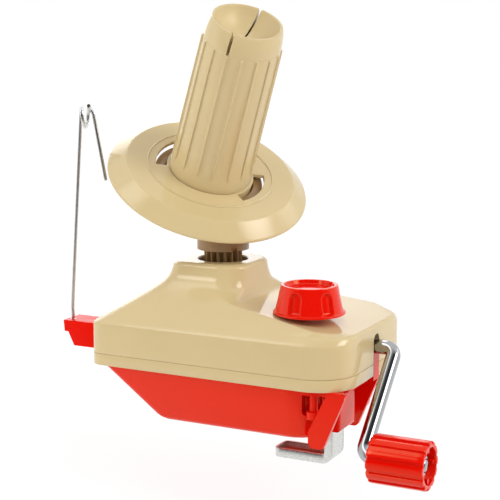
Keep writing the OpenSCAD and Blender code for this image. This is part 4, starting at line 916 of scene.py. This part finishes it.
def buildGrip():
    g = gripLook
    count, n, e = g["flutes"] * g["perFlute"], g["length"], g["edge"]
    pitch = 2 * math.pi / g["flutes"]

    def outside(a):
        off = (a + pitch / 2) % pitch - pitch / 2
        across = g["r"] * off / g["grooveHalf"]
        return g["r"] - g["grooveDepth"] * ease((1 - across * across) * g["wall"])
    rows = [("in", g["bore"], g["mouth"]), ("in", g["mouthR"], g["mouth"]), ("in", g["mouthR"], 0),
            ("in", g["landR"], 0)]
    rows += [("out", e * (1 - sinDeg(a)), e * (1 - cosDeg(a))) for a in quarter(5)]
    rows += [("out", 0, e + (n - 2 * e) * k / g["rows"]) for k in range(1, g["rows"])]
    rows += [("out", e * (1 - cosDeg(a)), n - e + e * sinDeg(a)) for a in quarter(5)]
    rows += [("in", g["recessR"] + d, n - down) for d, down in g["recessLip"]]
    rows += [("in", g["recessR"], n - g["recess"] + g["recessRound"]),
             ("in", g["recessR"] - g["recessRound"], n - g["recess"]), ("in", g["bore"], n - g["recess"])]
    verts = []
    for kind, r, z in rows:
        for j in range(count):
            a = 2 * math.pi * j / count
            radius = outside(a) - r if kind == "out" else r
            verts.append((g["x"] + z, radius * math.sin(a), radius * math.cos(a) - crank["throw"]))
    piece = solidObject("grip_fluted", verts, gridFaces(len(rows), count, True))
    inner, outer, thick = g["ribIn"], g["recessR"] + g["ribOver"], g["ribThick"] / 2
    outline = roundedLoop([(inner, -thick, g["ribRound"]), (outer, -thick, 0), (outer, thick, 0),
                           (inner, thick, g["ribRound"])], steps=3)
    base = Vector((g["x"] + n - g["recess"] - g["ribSunk"], 0, -crank["throw"]))
    lift = Vector((g["recess"] - g["ribShort"], 0, 0))
    for q in range(g["ribs"]):
        a = g["ribAt"] + 360 / g["ribs"] * q
        outwards, sideways = Vector((0, sinDeg(a), cosDeg(a))), Vector((0, cosDeg(a), -sinDeg(a)))
        points = [base + outwards * u + sideways * v for u, v in outline]
        rib = solidObject("grip_rib", points + [p + lift for p in points], prismFaces(len(points)))
        joinMesh(piece, rib, "UNION")
    place(piece, "red_plastic", "handle", "grip", sharp=45, frameMatrix=crankFrame)


buildGrip()
print("crank and grip made")

wire = {"x": -83.6, "y": -2.2, "r": 0.9, "sides": 14, "foot": 24.8, "block": 33.2, "upright": 4, "bendTo": 8,
        "top": 138.2, "eyeR": 5, "pitch": 4.2, "turn": 28, "eyeLead": 7.2, "eyeTurns": 1.25, "eyeSteps": 24,
        "kneeLead": 2.2, "kneeDrop": 4, "shoulder": [(1.6, 2.9), (0.4, 1.2)], "tailOut": 6.2, "tailDrop": 35,
        "pinR": 1.3, "pinFoot": 23.8, "pinSides": 24,
        "riseShares": (0, 0.25, 0.5, 0.75, 0.95), "tailShares": (0, 0.25, 0.5, 0.75, 1), "smooth": 4}


def buildWire():
    w = wire
    eyeX, eyeZ = w["x"] + w["eyeLead"], w["top"] - w["eyeR"] + w["r"]

    def eye(t):
        a, y = 2 * math.pi * t, -w["eyeR"] * (1 - math.cos(2 * math.pi * t))
        return Vector((eyeX + w["pitch"] * t - y * sinDeg(w["turn"]), w["y"] + y * cosDeg(w["turn"]),
                       eyeZ + w["eyeR"] * math.sin(a)))
    knee = Vector((eyeX + w["eyeTurns"] * w["pitch"] + w["kneeLead"], w["y"], w["top"] - w["kneeDrop"]))
    end = Vector((knee.x + w["tailOut"], w["y"], w["top"] - w["tailDrop"]))
    low = Vector((w["x"], w["y"], w["block"] + w["bendTo"]))
    path = [(w["x"], w["y"], w["foot"]), (w["x"], w["y"], w["block"] + w["upright"])]
    path += [low.lerp(eye(0), t) for t in w["riseShares"]]
    path += [eye(w["eyeTurns"] * i / w["eyeSteps"]) for i in range(w["eyeSteps"] + 1)]
    path += [knee - Vector((back, 0, -up)) for back, up in w["shoulder"]]
    path += [knee.lerp(end, t) for t in w["tailShares"]]
    piece = sweep("guide_wire_bent", smoothPath(path, w["smooth"]), w["r"], w["sides"])
    shadeByAngle(piece.data, sharp=180)
    pin = circle(w["x"], w["y"], w["pinR"], w["pinSides"])
    joinMesh(piece, prism("wire_pin", pin, w["pinFoot"], w["block"], "z"), "UNION")
    place(piece, "chrome", "wire", "guide_wire", sharp=50, look="wire")


buildWire()
print("guide wire made")


# Pieces whose solid is nearly right: a reshaped copy with its hard edges rounded off

rotorLook = {"collarR": 12.8, "slimR": 12.1, "collarLow": 74, "collarHigh": 86, "cupR": 21.8, "cupOut": 24.5,
             "mouth": 31.2, "flareEnd": 43.6, "wallMid": 23, "flareOut": 1.6, "flareIn": -0.6, "near": 0.05}


def shapeRotor(piece):  # slimmer collar, cup flaring to its mouth
    r, local = rotorLook, leaning.inverted()
    for v in piece.data.vertices:
        p = v.co / mm
        out = math.hypot(p.x, p.y)
        if r["collarLow"] < p.z < r["collarHigh"] and abs(out - r["collarR"]) < r["near"]:
            v.co = Vector((p.x * r["slimR"] / out, p.y * r["slimR"] / out, p.z)) * mm
            continue
        q = local @ p
        out = math.hypot(q.x, q.y)
        if -q.z < r["flareEnd"] and r["cupR"] < out < r["cupOut"]:
            flare = r["flareOut"] if out > r["wallMid"] else r["flareIn"]
            grown = 1 + flare * (r["flareEnd"] + q.z) / (r["flareEnd"] - r["mouth"]) / out
            v.co = (leaning @ Vector((q.x * grown, q.y * grown, q.z))) * mm


tubLook = {"seatLeft": 14.5, "left": 44.4, "right": 64.5, "seatHalf": 36.6, "half": 38.4, "height": 23,
           "edge": 2.2, "guideR": 5, "crankR": 14, "skin": 0.01, "shelf": 20.8,
           "finY": (-36, 3), "finThick": 2.2, "finOver": 0.05, "finZone": (57, 78, -6),
           "fin": [(60.4, -2.7, 2.6), (67.4, -2.7, 2.4), (76.95, 20.4, 0), (76.95, 22.5, 0), (69.2, 22.5, 0),
                   (60.4, 4.2, 3)],
           "screw": (61.5, 33.5), "pocketLow": 10.4, "pillarR": 3.5, "sleeveR": 1.95, "sleeveTo": 30,
           "cupR": 3.4, "cupLow": 9.7, "cupTop": 13, "headR": 2.95, "headLow": 10.2, "headTop": 12.55,
           "shaftR": 1.56, "shaftOver": 1, "lap": 0.2, "nip": 0.1, "fillet": (56, 59.4, 2.9),
           "filletY": (28, 40), "filletSunk": 0.3, "boxX": 70.4, "boxY": -16.5, "boxHalf": 8.8, "boxRound": 1.6, "near": 0.05}


def tubOuter():  # the tub's outside as one block
    t, h = tubLook, tubLook["height"]
    loops = []
    for z in [t["edge"] * (1 - cosDeg(a)) for a in quarter(9)] + [h]:
        inset = t["skin"] + roundIn(t["edge"], t["edge"] - z)
        loops.append(planLoop(ramp(t["seatLeft"], t["left"], z / h) - inset, t["right"] - inset,
                              ramp(t["seatHalf"], t["half"], z / h) - inset,
                              t["guideR"], t["crankR"], z, arc=16))
    verts = [p for loop in loops for p in loop]
    return solidObject("tub_block", verts, stackFaces(len(loops), len(loops[0])))


def shapeFins(piece):  # slanting table stops
    t = tubLook
    near, far, low = t["finZone"]
    for y in t["finY"]:
        front, back = y - t["finThick"] / 2, y + t["finThick"] / 2
        old = prism("old_fin", [(near, low), (far, low), (far, t["shelf"]), (near, t["shelf"])],
                    front - t["finOver"], back + t["finOver"], "y")
        joinMesh(old, tubOuter(), "DIFFERENCE")
        joinMesh(piece, old, "DIFFERENCE")
        joinMesh(piece, prism("new_fin", roundedLoop(t["fin"], steps=8), front, back, "y"), "UNION")


def shapePocket(piece, side):  # scooped pocket with a sleeve and a cup round its screw
    t = tubLook
    x, y = t["screw"][0], t["screw"][1] * side

    def post(r, low, high):
        return prism("post", circle(x, y, r), low, high, "z")
    around = post(t["pillarR"], t["cupTop"], t["shelf"])
    joinMesh(around, post(t["sleeveR"], 0, t["sleeveTo"]), "DIFFERENCE")
    joinMesh(piece, around, "DIFFERENCE")
    plug = post(t["cupR"], 0, t["cupLow"] + t["lap"])
    joinMesh(plug, tubOuter(), "INTERSECT")
    left, right, turn = t["fillet"]
    low = t["pocketLow"]
    bend = [(right - turn * sinDeg(q), low + turn * (1 - cosDeg(q))) for q in quarter(9)]
    bend += [(left, low + turn), (left, low - t["filletSunk"]), (right, low - t["filletSunk"])]
    fillet = prism("fillet", bend, *sorted(y * side for y in t["filletY"]), "y")
    joinMesh(fillet, tubOuter(), "INTERSECT")
    for part in (plug, post(t["cupR"], t["cupLow"], t["cupTop"]),
                 post(t["sleeveR"], t["cupTop"] - t["lap"], t["shelf"] + t["nip"]), fillet):
        joinMesh(piece, part, "UNION")
    for hole in (post(t["headR"], t["headLow"], t["headTop"]),
                 post(t["shaftR"], t["headTop"] - t["nip"], t["height"] + t["shaftOver"])):
        joinMesh(piece, hole, "DIFFERENCE")


def shapeTub(piece):
    t = tubLook
    shapeFins(piece)
    for side in (-1, 1):
        shapePocket(piece, side)

    def boxCorner(v):
        p = v.co / mm
        return abs(p.x - t["boxX"]) < t["near"] and abs(abs(p.y - t["boxY"]) - t["boxHalf"]) < t["near"]
    softenEdges(piece, t["boxRound"], sharp=60, segments=6, where=boxCorner)


def holdFlat(piece, x):  # extra edges across a long wall just before it starts to curve
    bm = bmesh.new()
    bm.from_mesh(piece.data)
    bmesh.ops.bisect_plane(bm, geom=bm.verts[:] + bm.edges[:] + bm.faces[:], dist=weld["cutting"],
                           plane_co=(x * mm, 0, 0), plane_no=(1, 0, 0))
    bm.to_mesh(piece.data)
    bm.free()


rounding = {"tub": {"edge": 0.45, "shape": shapeTub, "hold": (50.2,)},
            "rim_frame": {"edge": 0.4, "hold": (58.6, -41.6)},
            "guide_arm": {"edge": 0.45, "look": "red_satin"},
            "clamp_strap": {"edge": 0.3},
            "rotor": {"edge": 0.15, "shape": shapeRotor}}
for nodeName, way in rounding.items():
    rounded = bpy.data.objects.new(nodeName + "_rounded", frame["nodes"][nodeName].data.copy())
    rounded.data.name = rounded.name
    scene.collection.objects.link(rounded)
    shadeByAngle(rounded.data, sharp=180)
    if "shape" in way:
        way["shape"](rounded)
    softenEdges(rounded, way["edge"], sharp=28)
    for spot in way.get("hold", ()):
        holdFlat(rounded, spot)
    place(rounded, slotOf[nodeName], bodyOf[nodeName], nodeName, sharp=32, look=way.get("look"))
print("edges rounded on", ", ".join(rounding))
